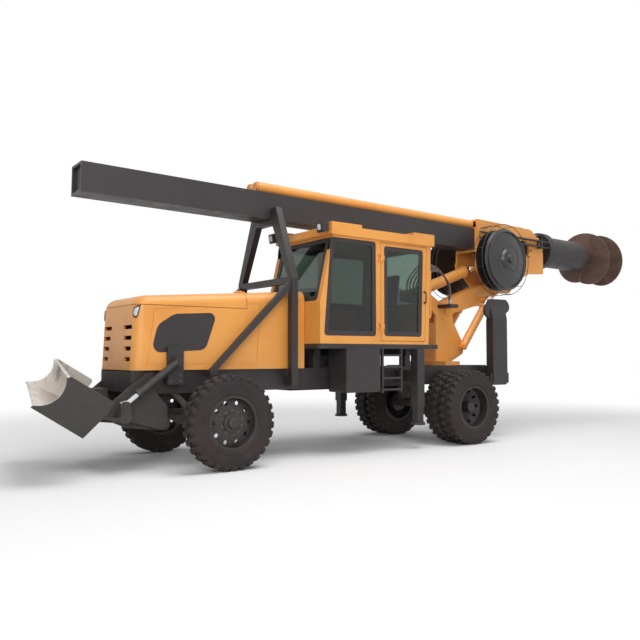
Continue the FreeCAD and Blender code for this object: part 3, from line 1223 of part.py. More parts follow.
def cab_fittings():
    """A work lamp at each front corner of the roof, the hoses' two blocks, and a grab tube down the rear corner."""
    front = f"({CAB_FRONT} - cab_lean + roof_lip)"
    back = prism("cab_back", "XZ", cab_profile("0"), "cab_right_y", "cab_left_y")
    fittings = []
    for y0 in ("(cab_left_y - 110)", "(cab_right_y - 10)"):
        shell = prism("lamp", "XZ", [
            (f"{front} + 35", f"{ROOF_Z} - 125", 10), (f"{front} + 130", f"{ROOF_Z} - 145", 8),
            (f"{front} + 150", f"{ROOF_Z} - 15", 8), (f"{front} + 50", f"{ROOF_Z} - 10", 20),
        ], y0, f"{y0} + 120")
        stem = span("lamp_stem", (f"{front} + 8", f"{front} + 60"), (f"{y0} + 40", f"{y0} + 80"),
                    (f"{ROOF_Z} - 34", f"{ROOF_Z} - 12"))
        fittings.append(fuse("work_lamp", shell, stem))
    bulkhead = span("bulkhead", (f"{CAB_REAR} - 274", f"{CAB_REAR} + 26"), (265, 460), (2040, 2100))
    fittings.append(cut("bulkhead_cut", bulkhead, back))
    fittings.append(span("turret_block", (f"{BOOM_X} + 31", f"{BOOM_X} + 201"),
                         ("boom_half + 15 + turret_plate", 460), (1985, 2035)))
    node("cab_fittings", group("fittings", *fittings))
    low, high, out = value("grab_low"), value("grab_high"), -value("grab_reach")
    tube = swept("grab_bar", [(60, low), (out, low), (out, high), (60, high)], 0, "grab_radius", 60)
    place(tube, CAB_REAR, "cab_left_y - grab_in", "cab_floor_z")
    node("grab_tube", cut("grab_cut", tube, back))


def auger():
    """A shaft with a helical flight that starts at the drum, a tooth on its first edge and a pilot point."""
    shaft = rod("auger_bar", "x", f"{DRUM_END} - auger_length", 0, MAST_Z, "auger_shaft", "auger_length - rest_gap")
    flange = rod("auger_flange", "x", f"{DRUM_END} - 90", 0, MAST_Z, "auger_shaft + 60", "90 - rest_gap")
    body = doc.addObject("PartDesign::Body", "flight")
    strip = outline(body, "XZ", 0, [
        (f"{DRUM_END} - 95 - auger_flight", "-(auger_shaft - 20)"), (f"{DRUM_END} - 95", "-(auger_shaft - 20)"),
        (f"{DRUM_END} - 95", "-auger_radius"), (f"{DRUM_END} - 95 - auger_flight", "-auger_radius"),
    ])
    helix = body.newObject("PartDesign::AdditiveHelix", "flight_helix")
    helix.Profile = strip
    helix.ReferenceAxis = (strip, ["H_Axis"])
    helix.Mode = "pitch-turns-angle"
    bind(helix, "Pitch", "auger_pitch")
    bind(helix, "Turns", "auger_turns")
    helix.Reversed = True
    place(body, 0, 0, MAST_Z)
    tooth = prism("auger_tooth", "XZ", [
        (f"{DRUM_END} - 95 - auger_flight", f"{MAST_Z} - auger_radius + 160"),
        (f"{DRUM_END} - 95", f"{MAST_Z} - auger_radius + 160"),
        (f"{DRUM_END} - 60", f"{MAST_Z} - auger_radius + 2"),
        (f"{DRUM_END} - 95 - auger_flight", f"{MAST_Z} - auger_radius + 2"),
    ], "-5", "75")
    tip = doc.addObject("Part::Cone", "pilot")
    tip.Placement = Placement(Vector(), Rotation(Vector(0, 1, 0), -90))
    bind(tip, "Radius1", "auger_shaft")
    tip.Radius2, tip.Height = 12, 110
    place(tip, f"{DRUM_END} - auger_length", 0, MAST_Z)
    node("auger", leaning(fuse("auger_parts", shaft, flange, tip, body, tooth)))


# ---------------------------------------------------------------- dozer blade
def swung(item, axis, angle, x, z):
    """Turns a piece about an upright or lengthwise axis through (x, 0, z)."""
    item.Placement = Placement(Vector(), Rotation(axis, 1))
    bind(item, "Placement.Rotation.Angle", f"{angle} * 1 deg")
    cosine, sine = f"cos({angle} * 1 deg)", f"sin({angle} * 1 deg)"
    if axis.z:
        return place(item, f"({x}) * (1 - {cosine})", f"-({x}) * {sine}")
    return place(item, 0, f"({z}) * {sine}", f"({z}) * (1 - {cosine})")


BLADE_EYE_X = f"({BLADE_X} + blade_eye_ahead)"
BLADE_EYE_Z = "(blade_pivot_z + blade_eye_up)"


def moldboard():
    """The curved plate with its two end plates, angled and tilted on the push frame."""
    x, z = f"({BLADE_X} + blade_reach)", "blade_pivot_z"
    plate = prism("moldboard", "XZ", [
        (f"{x} - 18", f"{z} + 350"), (f"{x} - 460", f"{z} + 103", 150), (f"{x} - 610", f"{z} + 283", 110),
        (f"{x} - 364", f"{z} + 630"), (f"{x} - 334", f"{z} + 618"), (f"{x} - 550", f"{z} + 298", 80),
        (f"{x} - 440", f"{z} + 158", 110), (f"{x} - 34", f"{z} + 366"),
    ], "-blade_half + 20", "blade_half - 20")
    end = prism("blade_end", "XZ", [
        (x, f"{z} + 353"), (f"{x} - 480", f"{z} + 33"), (f"{x} - 680", f"{z} + 235"),
        (f"{x} - 780", f"{z} + 375", 30), (f"{x} - 360", f"{z} + 643"), (f"{x} - 320", f"{z} + 628"),
        (f"{x} - 395", f"{z} + 338", 240),
        (f"{x} - 20", f"{z} + 373"),
    ], "blade_half - 30", "blade_half")
    tilted = swung(fuse("moldboard_parts", plate, end, mirror("blade_end_right", end)), Vector(1, 0, 0),
                   "-blade_tilt", 0, f"{z} + 240")
    return swung(group("moldboard_tilted", tilted), Vector(0, 0, 1), "-blade_angle",
                 f"{BLADE_X} + blade_reach - 595", 0)


def blade():
    board = moldboard()
    node("dozer_blade", board)
    x, z = BLADE_X, "blade_pivot_z"
    half = "blade_arm_width / 2"
    arm = prism("blade_arm", "XZ", [
        (f"{x} - 75", f"{z} - 75", 60), (f"{x} - 75", f"{z} + 75", 60), (f"{BLADE_EYE_X} - 60", f"{z} + 190", 40),
        (f"{BLADE_EYE_X} + 40", f"{z} + 190", 40), (f"{BLADE_EYE_X} + 40", f"{z} + 40", 40),
        (f"{BLADE_EYE_X} - 100", f"{z} - 20", 60),
    ], f"blade_arm_y - {half}", f"blade_arm_y + {half}")
    hole = rod("arm_hole", "y", x, "0", z, "35 + fit_gap", "900")
    lugs = []
    eye_half = "((cylinder_radius - 18) * 0.65 + rest_gap)"
    for low in (f"{TOWER_Y} - {eye_half} - 15", f"{TOWER_Y} + {eye_half}"):
        lugs.append(prism("blade_lug", "XZ", [
            (f"{BLADE_EYE_X} - 70", f"{z} + 70", 50), (f"{BLADE_EYE_X} - 45", f"{BLADE_EYE_Z} + 45", 40),
            (f"{BLADE_EYE_X} + 45", f"{BLADE_EYE_Z} + 45", 40), (f"{BLADE_EYE_X} + 60", f"{z} + 70", 50),
        ], low, f"{low} + 15"))
    for low in (f"{TOWER_Y} - {eye_half} - 30", f"{TOWER_Y} + {eye_half} + 15"):
        lugs.append(rod("blade_pin_head", "y", BLADE_EYE_X, low, BLADE_EYE_Z, "cylinder_pin", 15))
    gusset = prism("push_gusset", "XZ", [
        (f"{x} - 20", f"{z} - 70", 50), (f"{BLADE_EYE_X} + 180", f"{z} + 131", 30),
        (f"{BLADE_EYE_X} + 97", f"{z} + 269", 30),
        (f"{x} + 230", "frame_top_z - 25", 40), (f"{x} + 150", "frame_top_z - 25"),
        (f"{x} + 150", "frame_bottom_z + 60"),
        (f"{x} - 20", f"{z} + 200", 60),
    ], "rail_y + 20", "rail_y + 20 + blade_gusset")
    left = [cut("arm_cut", arm, hole), gusset, *lugs]
    tube = rod("push_tube", "y", BLADE_EYE_X, f"-({TOWER_Y} + 50)", f"{z} + 110", "60", f"2 * ({TOWER_Y} + 50)")
    nose = cut("push_nose", span("push_nose_bar", (BLADE_EYE_X, f"{BLADE_X} + blade_reach - 400"), ("-110", "110"),
                                 (f"{z} + 60", f"{z} + 400")), board,
               span("nose_clear", (f"{BLADE_X} + blade_reach - 578", f"{BLADE_X} + blade_reach"),
                    ("-200", "200"), (z, f"{z} + 500")))
    node("blade_arms", fuse("push_frame", tube, nose, *left, *[mirror("push_part", p) for p in left]))


def blade_towers():
    x, z = BLADE_X, "blade_pivot_z"
    tower = prism("blade_tower", "XZ", [
        (f"{TOWER_X} - 95", "frame_bottom_z + 100"), (f"{TOWER_X} - 95", "blade_tower_z + 170", 30),
        (f"{TOWER_X} + 95", "blade_tower_z + 170", 30), (f"{TOWER_X} + 95", "frame_bottom_z + 100"),
    ], f"{TOWER_Y} - 90", f"{TOWER_Y} - 50")
    shelf = span("tower_shelf", (f"{TOWER_X} - 95", f"{TOWER_X} + 95"), ("rail_y", f"{TOWER_Y} - 50"),
                 ("frame_bottom_z + 100", "frame_bottom_z + 200"))
    pin = rod("tower_pin", "y", TOWER_X, f"{TOWER_Y} - 60", "blade_tower_z", "cylinder_pin", 100)
    hanger = prism("blade_hanger", "XZ", [
        (f"{x} - 130", "frame_bottom_z"), (f"{x} - 60", f"{z} - 70", 60), (f"{x} + 60", f"{z} - 70", 60),
        (f"{x} + 130", "frame_bottom_z"),
    ], "blade_arm_y - blade_arm_width / 2 - 45", "blade_arm_y - blade_arm_width / 2 - 5")
    arm_pin = rod("arm_pin", "y", x, "blade_arm_y - blade_arm_width / 2 - 40", z, "35", "blade_arm_width + 50")
    node("blade_towers", group("tower_groups", *[
        item for half in (fuse("tower", tower, shelf, pin), fuse("hanger", hanger, arm_pin))
        for item in (half, mirror("tower_twin", half))]))


def blade_cylinders():
    ends = (TOWER_X, "blade_tower_z", BLADE_EYE_X, BLADE_EYE_Z)
    length = pin_distance(*ends)
    body, plunger = cylinder_parts("blade", length, f"{length} - 180", TOWER_Y, "cylinder_radius - 18",
                                   "cylinder_rod - 8",
                                   "cylinder_pin")
    node("blade_barrels", lay_along(pair("blade_barrel_pair", body), *ends))
    node("blade_rods", lay_along(pair("blade_rod_pair", plunger), *ends))


# ---------------------------------------------------------------- legs
def jacks():
    half, wall = "(jack_size / 2)", "12"
    x = JACK_X
    outer = span("jack_outer", (f"{x} - {half}", f"{x} + {half}"), (f"jack_y - {half}", f"jack_y + {half}"),
                 ("560", "cab_floor_z - platform"))
    bore = span("jack_bore", (f"{x} - {half} + {wall}", f"{x} + {half} - {wall}"),
                (f"jack_y - {half} + {wall}", f"jack_y + {half} - {wall}"), ("500", "cab_floor_z - platform - 30"))
    arm = span("jack_arm", (f"{x} - {half}", f"{x} + {half}"), ("rail_y", f"jack_y - {half}"), ("900", "1060"))
    sleeve = fuse("jack_sleeve", cut("jack_tube", outer, bore), arm)
    node("jack_sleeves", pair("jack_sleeve_pair", sleeve))
    inset = f"({half} - {wall} - rest_gap)"
    leg = span("jack_leg", (f"{x} - {inset}", f"{x} + {inset}"), (f"jack_y - {inset}", f"jack_y + {inset}"),
               ("350", "1200"))
    foot = rod("jack_foot", "z", x, "jack_y", "322", "95", 32)
    left = fuse("jack", leg, foot)
    node("jack_leg_left", left)
    node("jack_leg_right", mirror("jack_leg_right", left))


def outriggers():
    """A leg hinged along X at each rear corner; it stands folded up and swings out to the ground."""
    x = LEG_X
    y, z = "leg_pivot_y", "leg_pivot_z"
    x0, x1 = f"({x} - leg_width / 2)", f"({x} + leg_width / 2)"
    beam = prism("leg_beam", "YZ", [
        (f"{y} - 60", f"{z} - 75", 55), (f"{y} + 75", f"{z} - 75", 55), (f"{y} + 75", f"{z} + leg_length - 260", 60),
        (f"{y} + 30", f"{z} + leg_length - 60"), (f"{y} - 20", f"{z} + leg_length - 60"),
        (f"{y} - 60", f"{z} + leg_length - 300", 60),
    ], x0, x1)
    hole = rod("leg_hole", "x", f"{x0} - 50", y, z, "32 + fit_gap", "leg_width + 100")
    shoe = prism("leg_shoe", "XZ", [
        (f"{x} - 330", f"{z} + leg_length - 90", 90), (f"{x} - 200", f"{z} + leg_length + 40", 60),
        (f"{x} + 180", f"{z} + leg_length + 40", 120), (f"{x} + 370", f"{z} + leg_length - 180", 120),
        (f"{x} + 60", f"{z} + leg_length - 330", 90),
    ], f"{y} + 0", f"{y} + 35")
    left = fuse("leg", cut("leg_cut", beam, hole), shoe)
    node("outrigger_left", left)
    node("outrigger_right", mirror("outrigger_right", left))
    hinge = span("leg_hinge", (f"{x1} + 5", f"{x1} + 45"), ("rail_y", f"{y} + 60"),
                 ("frame_bottom_z", "frame_bottom_z + 150"))
    hinge_back = span("leg_hinge_back", (f"{x0} - 45", f"{x0} - 5"), ("rail_y", f"{y} + 60"),
                      ("frame_bottom_z", "frame_bottom_z + 150"))
    tie = span("leg_tie", (f"{x0} - 45", f"{x1} + 45"), ("rail_y", "rail_y + 60"), ("frame_bottom_z", "frame_top_z"))
    pin = rod("leg_pin", "x", f"{x0} - 60", y, z, "32", "leg_width + 120")
    half = [hinge, hinge_back, tie, pin]
    node("outrigger_frame", fuse("leg_frame", *half, *[mirror("leg_part", p) for p in half]))


def mast_pin():
    length = f"2 * ({CHEEK_Y} + housing_plate + 25)"
    pin = rod("mast_pin_bar", "y", PIN_X, f"-({length}) / 2", PIN_Z, "boom_pin", length)
    keeper = rod("pin_keeper", "y", PIN_X, f"{CHEEK_Y} + housing_plate + rest_gap", PIN_Z, "boom_pin + 30",
                 "25 - rest_gap")
    node("mast_pin", fuse("mast_pin_parts", pin, keeper, mirror("keeper_right", keeper)))


def build():
    chassis_frame()
    front_axle()
    rear_axle()
    engine_block()
    knuckles()
    front_wheels()
    rear_wheels()
    bonnet()
    cab()
    cab_inside()
    cab_fittings()
    platform()
    mast_rest()
    turret()
    boom()
    lift_cylinders()
    tilt_cylinder()
    mast_pin()
    mast_tube()
    mast_housing()
    crowd_cylinders()
    hose_reels()
    hose_bundle()
    mast_hoses()
    drive()
    auger()
    blade()
    blade_towers()
    blade_cylinders()
    jacks()
    outriggers()


def check_and_write():
    doc.recompute()
    failed = [item.Name for item in doc.Objects if "Invalid" in item.State or "Error" in item.State]
    if failed:
        raise RuntimeError(f"these objects failed: {failed}")
    for item in nodes:
        if item.Shape.isNull() or not item.Shape.isValid():
            raise RuntimeError(f"{item.Label} has no valid shape")
    os.makedirs("parts", exist_ok=True)
    low, high = Vector(1e9, 1e9, 1e9), Vector(-1e9, -1e9, -1e9)
    for item in nodes:
        item.Shape.exportStep(f"parts/{item.Label}.step")
        box_now = item.Shape.BoundBox
        low = Vector(min(low.x, box_now.XMin), min(low.y, box_now.YMin), min(low.z, box_now.ZMin))
        high = Vector(max(high.x, box_now.XMax), max(high.y, box_now.YMax), max(high.z, box_now.ZMax))
        print(f"{item.Label}: {len(item.Shape.Solids)} solids, {item.Shape.Volume / 1e9:.4f} m3")
    print(f"{len(nodes)} nodes, box {low} to {high}")


build()
check_and_write()
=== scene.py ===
# %% [markdown]
# # A wheeled mini rotary piling rig
# The rig's engineering model is already packed: steel shapes, bodies and joints.
# This lesson gives it its looks.  We load that model as a fixed frame, set up a small
# studio, mix the paints, and then build the things that CAD leaves plain: hoses,
# tyre treads, bolts, window frames, lamps, a door handle and the driver's seat.

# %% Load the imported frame
import json
import math

import bmesh
import bpy
from mathutils import Matrix, Vector
from mathutils.geometry import intersect_line_line


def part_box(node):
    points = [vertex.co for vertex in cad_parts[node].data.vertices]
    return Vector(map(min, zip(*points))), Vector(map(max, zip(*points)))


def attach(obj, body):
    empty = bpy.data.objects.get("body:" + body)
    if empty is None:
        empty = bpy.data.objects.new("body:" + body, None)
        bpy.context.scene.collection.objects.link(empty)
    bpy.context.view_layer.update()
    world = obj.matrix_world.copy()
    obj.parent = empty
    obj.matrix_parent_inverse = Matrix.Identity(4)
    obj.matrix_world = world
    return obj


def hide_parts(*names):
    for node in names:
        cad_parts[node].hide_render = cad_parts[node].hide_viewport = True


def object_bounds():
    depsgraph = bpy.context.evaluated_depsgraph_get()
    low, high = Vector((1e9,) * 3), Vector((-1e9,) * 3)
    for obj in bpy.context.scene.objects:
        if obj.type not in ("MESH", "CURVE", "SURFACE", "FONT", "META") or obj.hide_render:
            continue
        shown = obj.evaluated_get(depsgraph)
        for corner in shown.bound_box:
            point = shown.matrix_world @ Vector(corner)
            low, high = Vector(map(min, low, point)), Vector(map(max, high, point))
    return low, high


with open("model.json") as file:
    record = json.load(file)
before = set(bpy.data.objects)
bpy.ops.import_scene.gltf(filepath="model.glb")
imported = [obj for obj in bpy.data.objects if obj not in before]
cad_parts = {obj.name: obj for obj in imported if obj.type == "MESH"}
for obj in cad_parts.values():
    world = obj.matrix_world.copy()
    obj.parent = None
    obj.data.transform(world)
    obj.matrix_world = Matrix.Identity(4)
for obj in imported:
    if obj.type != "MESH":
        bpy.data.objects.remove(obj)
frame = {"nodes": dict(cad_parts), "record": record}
cad_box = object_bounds()
NODES = frame["nodes"]
SLOT_OF = {part["node"]: part["material_slot"] for part in frame["record"]["subparts"]}


def middle_of(node):
    """The middle of a frame node's box, to a tenth of a millimetre."""
    low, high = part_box(node)
    return Vector(round(value, 4) for value in (low + high) / 2)


# %% [markdown]
# ## The camera
# A low camera stands off the front left corner and looks a little up at the mast.  From
# there the rig has its long wedge shape: the blade is near, the auger is far.  A lens of
# about 40 mm on a 36 mm sensor takes in the whole rig from some eleven metres away.

# %% Place the camera
def shown(name, data):
    """A new object that is in the scene."""
    made = bpy.data.objects.new(name, data)
    bpy.context.scene.collection.objects.link(made)
    return made


EYE = Vector((7.376, 7.876, 1.274))
HEADING = math.radians(36.23)
LIFT = math.radians(2.79)
look = Vector((-math.sin(HEADING) * math.cos(LIFT), -math.cos(HEADING) * math.cos(LIFT), math.sin(LIFT)))
optics = bpy.data.cameras.new("studio_camera")
optics.lens = 39.8
optics.sensor_width = 36.0
optics.clip_end = 200.0
camera = shown("studio_camera", optics)
camera.location = EYE
camera.rotation_euler = look.to_track_quat("-Z", "Y").to_euler()
bpy.context.scene.camera = camera
print("camera at", tuple(round(v, 2) for v in EYE))

# %% [markdown]
# ## The hoses behind the cab
# Five hydraulic hoses leave a block at the boom's foot, arch over the gap and come down
# on a bulkhead behind the cab.  Each is one smooth spline with eight given points, so
# no two arches are quite alike.  Such hose is stiff enough to hold an arch like this by
# itself.  A swept mesh would do too, but a spline keeps the thickness as one number.

# %% Make a round line
def round_line(name, route, radius, rings, steps):
    """A curve of one open spline with a round section and closed ends."""
    line = bpy.data.curves.new(name, "CURVE")
    line.dimensions = "3D"
    line.bevel_depth = radius
    line.bevel_resolution = rings
    line.resolution_u = steps
    line.use_fill_caps = True
    run = line.splines.new("NURBS")
    run.points.add(len(route) - 1)
    for point, place in zip(run.points, route):
        point.co = (*place, 1.0)
    run.order_u = 3
    run.use_endpoint_u = True
    run.use_smooth = True
    return line


print("round lines can be drawn")

# %% Route the five hoses
HOSE = 0.022
# For each hose its length, and the points that its spline follows.
HOSE_RUNS = {
    "arch_hose_1": (1.627, [(-0.640, 0.290, 2.035), (-0.642, 0.290, 2.130), (-0.641, 0.287, 2.374),
                            (-0.380, 0.284, 2.630), (-0.020, 0.287, 2.629), (0.240, 0.292, 2.370),
                            (0.241, 0.290, 2.190), (0.240, 0.290, 2.100)]),
    "arch_hose_2": (1.533, [(-0.610, 0.326, 2.035), (-0.610, 0.326, 2.130), (-0.607, 0.322, 2.358),
                            (-0.371, 0.330, 2.601), (-0.028, 0.331, 2.598), (0.212, 0.325, 2.362),
                            (0.210, 0.326, 2.190), (0.210, 0.326, 2.100)]),
    "arch_hose_3": (1.439, [(-0.580, 0.362, 2.035), (-0.581, 0.362, 2.130), (-0.583, 0.365, 2.350),
                            (-0.355, 0.360, 2.569), (-0.045, 0.357, 2.571), (0.178, 0.364, 2.345),
                            (0.179, 0.362, 2.190), (0.180, 0.362, 2.100)]),
    "arch_hose_4": (1.345, [(-0.550, 0.398, 2.035), (-0.549, 0.398, 2.130), (-0.548, 0.401, 2.333),
                            (-0.346, 0.404, 2.542), (-0.053, 0.399, 2.538), (0.151, 0.395, 2.336),
                            (0.150, 0.398, 2.190), (0.150, 0.398, 2.100)]),
    "arch_hose_5": (1.250, [(-0.520, 0.434, 2.035), (-0.521, 0.434, 2.130), (-0.522, 0.437, 2.325),
                            (-0.332, 0.433, 2.509), (-0.068, 0.436, 2.512), (0.119, 0.432, 2.322),
                            (0.120, 0.434, 2.190), (0.120, 0.434, 2.100)]),
}
print({name: f"{length} m" for name, (length, _) in HOSE_RUNS.items()})

# %% Draw them
hoses = []
for name, (length, route) in HOSE_RUNS.items():
    arch = shown(name, round_line(name, route, HOSE / 2, rings=5, steps=14))
    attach(arch, "chassis")
    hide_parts("hose_bundle")
    hoses.append(arch)
print(len(hoses), "hoses drawn")

# %% [markdown]
# ## The studio
# A pale floor runs out to a white surround.  Near the rig the floor is an ordinary
# matt surface, so it takes a shadow; further out it turns into plain white, so no
# horizon shows.  The lamps stay soft: a wide one above, one near the camera and a
# weak one behind, with an even white world round them.

# %% Add nodes by name
def add(tree, kind, links=None, **settings):
    """One shader or geometry node: its settings, then its inputs by name or by number."""
    made = tree.nodes.new(kind)
    for key, value in settings.items():
        setattr(made, key, value)
    for key, value in (links or {}).items():
        if isinstance(value, bpy.types.NodeSocket):
            tree.links.new(value, made.inputs[key])
        else:
            made.inputs[key].default_value = value
    return made


def direct_view(tree):
    """1 where the camera, a mirror or a window looks straight at the backdrop."""
    path = add(tree, "ShaderNodeLightPath")
    seen = add(tree, "ShaderNodeMath", {0: path.outputs["Is Camera Ray"], 1: path.outputs["Is Glossy Ray"]})
    return add(tree, "ShaderNodeMath", {0: seen.outputs[0], 1: path.outputs["Is Transmission Ray"]},
               use_clamp=True).outputs[0]


print("nodes can be added and wired")

# %% Lay the floor
FLOOR_REACH, FLOOR_GAP = 60.0, 0.001
SHADOW_REACH, WHITE_FROM = 4.0, 11.0
floor_mesh = bpy.data.meshes.new("studio_floor")
sheet = bmesh.new()
bmesh.ops.create_circle(sheet, cap_ends=True, radius=FLOOR_REACH, segments=64)
sheet.to_mesh(floor_mesh)
sheet.free()
floor = shown("studio_floor", floor_mesh)
floor.location.z = cad_box[0].z - FLOOR_GAP

floor_paint = bpy.data.materials.new("studio_floor")
floor_paint.use_nodes = True
tree = floor_paint.node_tree
tree.nodes.clear()
place = add(tree, "ShaderNodeTexCoord")
far = add(tree, "ShaderNodeVectorMath", {0: place.outputs["Object"]}, operation="LENGTH")
fade = add(tree, "ShaderNodeMapRange", {0: far.outputs["Value"], 1: SHADOW_REACH, 2: WHITE_FROM},
           interpolation_type="SMOOTHSTEP")
white_share = add(tree, "ShaderNodeMath", {0: fade.outputs[0], 1: direct_view(tree)}, operation="MULTIPLY")
matt = add(tree, "ShaderNodeBsdfDiffuse", {"Color": (0.90, 0.90, 0.90, 1)})
white = add(tree, "ShaderNodeEmission", {"Color": (1, 1, 1, 1), "Strength": 1.0})
both = add(tree, "ShaderNodeMixShader", {0: white_share.outputs[0], 1: matt.outputs[0], 2: white.outputs[0]})
add(tree, "ShaderNodeOutputMaterial", {"Surface": both.outputs[0]})
floor_mesh.materials.append(floor_paint)
print("floor out to", FLOOR_REACH, "m")

# %% Brighten the world
world = bpy.data.worlds.new("studio_world")
bpy.context.scene.world = world
world.use_nodes = True
tree = world.node_tree
tree.nodes.clear()
AMBIENT = 0.36
even = add(tree, "ShaderNodeBackground", {"Color": (0.97, 0.98, 1.0, 1), "Strength": AMBIENT})
backdrop = add(tree, "ShaderNodeBackground", {"Color": (1, 1, 1, 1), "Strength": 1.0})
chosen = add(tree, "ShaderNodeMixShader", {0: direct_view(tree), 1: even.outputs[0], 2: backdrop.outputs[0]})
add(tree, "ShaderNodeOutputWorld", {"Surface": chosen.outputs[0]})
print("even light of", AMBIENT)

# %% Hang three soft lamps
def softbox(name, spot, target, size, watts):
    """A round soft lamp that looks at a target and that the camera does not see."""
    lamp = bpy.data.lights.new(name, "AREA")
    lamp.shape, lamp.size, lamp.energy = "DISK", size, watts
    holder = shown(name, lamp)
    holder.location = spot
    holder.rotation_euler = (Vector(target) - Vector(spot)).to_track_quat("-Z", "Y").to_euler()
    holder.visible_camera = False


softbox("top_light", (1.0, 3.0, 11.0), (0, 0, 1), 9.0, 820)
softbox("camera_light", (9.0, 9.0, 5.0), (0, 0, 1.5), 6.0, 500)
softbox("back_light", (-9.0, -8.0, 6.0), (0, 0, 1.5), 6.0, 220)
bpy.context.scene.view_settings.view_transform = "Standard"
print("lamps:", [lamp.name for lamp in bpy.data.lights])

# %% [markdown]
# ## Effects that several finishes share
# Paint, rubber and bare steel all age in the same few ways: edges rub through, dust
# settles on what faces up, colour drifts in broad patches and a fine grain breaks up
# the gloss.  Each effect is a node group, built once, with its strength and scale as
# inputs.  Every group reads Object coordinates, so a mark stays on its piece when
# the piece moves.

# %% Start a shader group
def shader_group(name, inputs, outputs):
    """An empty group with named sockets, and the two ends to wire it to."""
    tree = bpy.data.node_groups.new(name, "ShaderNodeTree")
    kinds = {"v": "NodeSocketFloat", "c": "NodeSocketColor", "n": "NodeSocketVector"}
    for label, kind, value in inputs:
        tree.interface.new_socket(label, in_out="INPUT", socket_type=kinds[kind]).default_value = value
    for label, kind in outputs:
        tree.interface.new_socket(label, in_out="OUTPUT", socket_type=kinds[kind])
    start = tree.nodes.new("NodeGroupInput")
    end = tree.nodes.new("NodeGroupOutput")
    return tree, start.outputs, end.inputs


def noise(tree, where, scale, detail, roughness):
    """Clouds from 0 to 1 over the coordinates given."""
    return add(tree, "ShaderNodeTexNoise", {"Vector": where, "Scale": scale, "Detail": detail,
                                            "Roughness": roughness}).outputs["Fac"]


def step_between(tree, value, low, high, bottom=0.0):
    """A smooth rise from bottom to 1 while the value goes from low to high."""
    return add(tree, "ShaderNodeMapRange", {0: value, 1: low, 2: high, 3: bottom},
               interpolation_type="SMOOTHSTEP").outputs[0]


def times(tree, a, b):
    """One value times another."""
    return add(tree, "ShaderNodeMath", {0: a, 1: b}, operation="MULTIPLY").outputs[0]


print("helpers for shader groups are ready")

# %% [markdown]
# ### Edge wear
# Paint goes first from corners that hands and stones touch.  The bevel node gives the
# normal that a rounded edge would have; where it turns away from the flat face's own
# normal, we are at an edge, and noise breaks the line up.  Wear could be painted by hand,
# but this finds the edges of all sixty nodes.

# %% Rub the edges
# The two normals agree by this much on a flat face and on a sharp edge.
FLAT, SHARP = 0.98, 0.80
EDGE_WEAR, put, out = shader_group("edge_wear",
                                   [("Width", "v", 0.012), ("Amount", "v", 0.5), ("Breakup", "v", 14.0)],
                                   [("Mask", "v")])
bevelled = add(EDGE_WEAR, "ShaderNodeBevel", {"Radius": put["Width"]}, samples=4)
facing = add(EDGE_WEAR, "ShaderNodeNewGeometry")
agree = add(EDGE_WEAR, "ShaderNodeVectorMath", {0: bevelled.outputs[0], 1: facing.outputs["Normal"]},
            operation="DOT_PRODUCT")
bent_off = step_between(EDGE_WEAR, agree.outputs["Value"], FLAT, SHARP)
spots = noise(EDGE_WEAR, add(EDGE_WEAR, "ShaderNodeTexCoord").outputs["Object"], put["Breakup"], 6.0, 0.7)
rubbed = times(EDGE_WEAR, bent_off, step_between(EDGE_WEAR, spots, 0.42, 0.62))
EDGE_WEAR.links.new(times(EDGE_WEAR, rubbed, put["Amount"]), out["Mask"])
print("group", EDGE_WEAR.name)

# %% [markdown]
# ### Dust
# Dust lies thick near the ground and on faces that look up, and thin elsewhere.  Height
# and facing each give a mask, and we keep the stronger of the two, in clouds.

# %% Settle the dust
# The upward part of a normal at which dust starts to lie, and at which it lies thick.
DUST_STARTS, DUST_LIES = 0.35, 0.95
DUST, put, out = shader_group("dust", [("Amount", "v", 0.4), ("Low", "v", 0.2), ("High", "v", 1.6),
                                       ("Scale", "v", 5.0)], [("Mask", "v")])
where = add(DUST, "ShaderNodeTexCoord")
height = add(DUST, "ShaderNodeSeparateXYZ", {0: where.outputs["Object"]}).outputs["Z"]
upward = add(DUST, "ShaderNodeSeparateXYZ", {0: where.outputs["Normal"]}).outputs["Z"]
low_down = add(DUST, "ShaderNodeMapRange", {0: height, 1: put["Low"], 2: put["High"], 3: 1.0,
                                            4: 0.0}).outputs[0]
settled = step_between(DUST, upward, DUST_STARTS, DUST_LIES)
either = add(DUST, "ShaderNodeMath", {0: low_down, 1: settled}, operation="MAXIMUM").outputs[0]
clouds = step_between(DUST, noise(DUST, where.outputs["Object"], put["Scale"], 6.0, 0.65), 0.35, 0.75)
DUST.links.new(times(DUST, times(DUST, either, clouds), put["Amount"]), out["Mask"])
print("group", DUST.name)

# %% [markdown]
# ### Drift and grain
# Sun and handling make one colour wander into a second in broad soft patches.  Grain is
# a fine height for the bump, and a smoother wander for the gloss.

# %% Let colour and gloss wander
DRIFT, put, out = shader_group("colour_drift", [("Colour", "c", (0.5, 0.5, 0.5, 1)),
                                                ("Second", "c", (0.4, 0.4, 0.4, 1)), ("Scale", "v", 1.6)],
                               [("Colour", "c")])
where = add(DRIFT, "ShaderNodeTexCoord")
patches = step_between(DRIFT, noise(DRIFT, where.outputs["Object"], put["Scale"], 5.0, 0.6), 0.38, 0.68)
mixed = add(DRIFT, "ShaderNodeMix", {"Factor": patches, 6: put["Colour"], 7: put["Second"]}, data_type="RGBA")
DRIFT.links.new(mixed.outputs[2], out["Colour"])

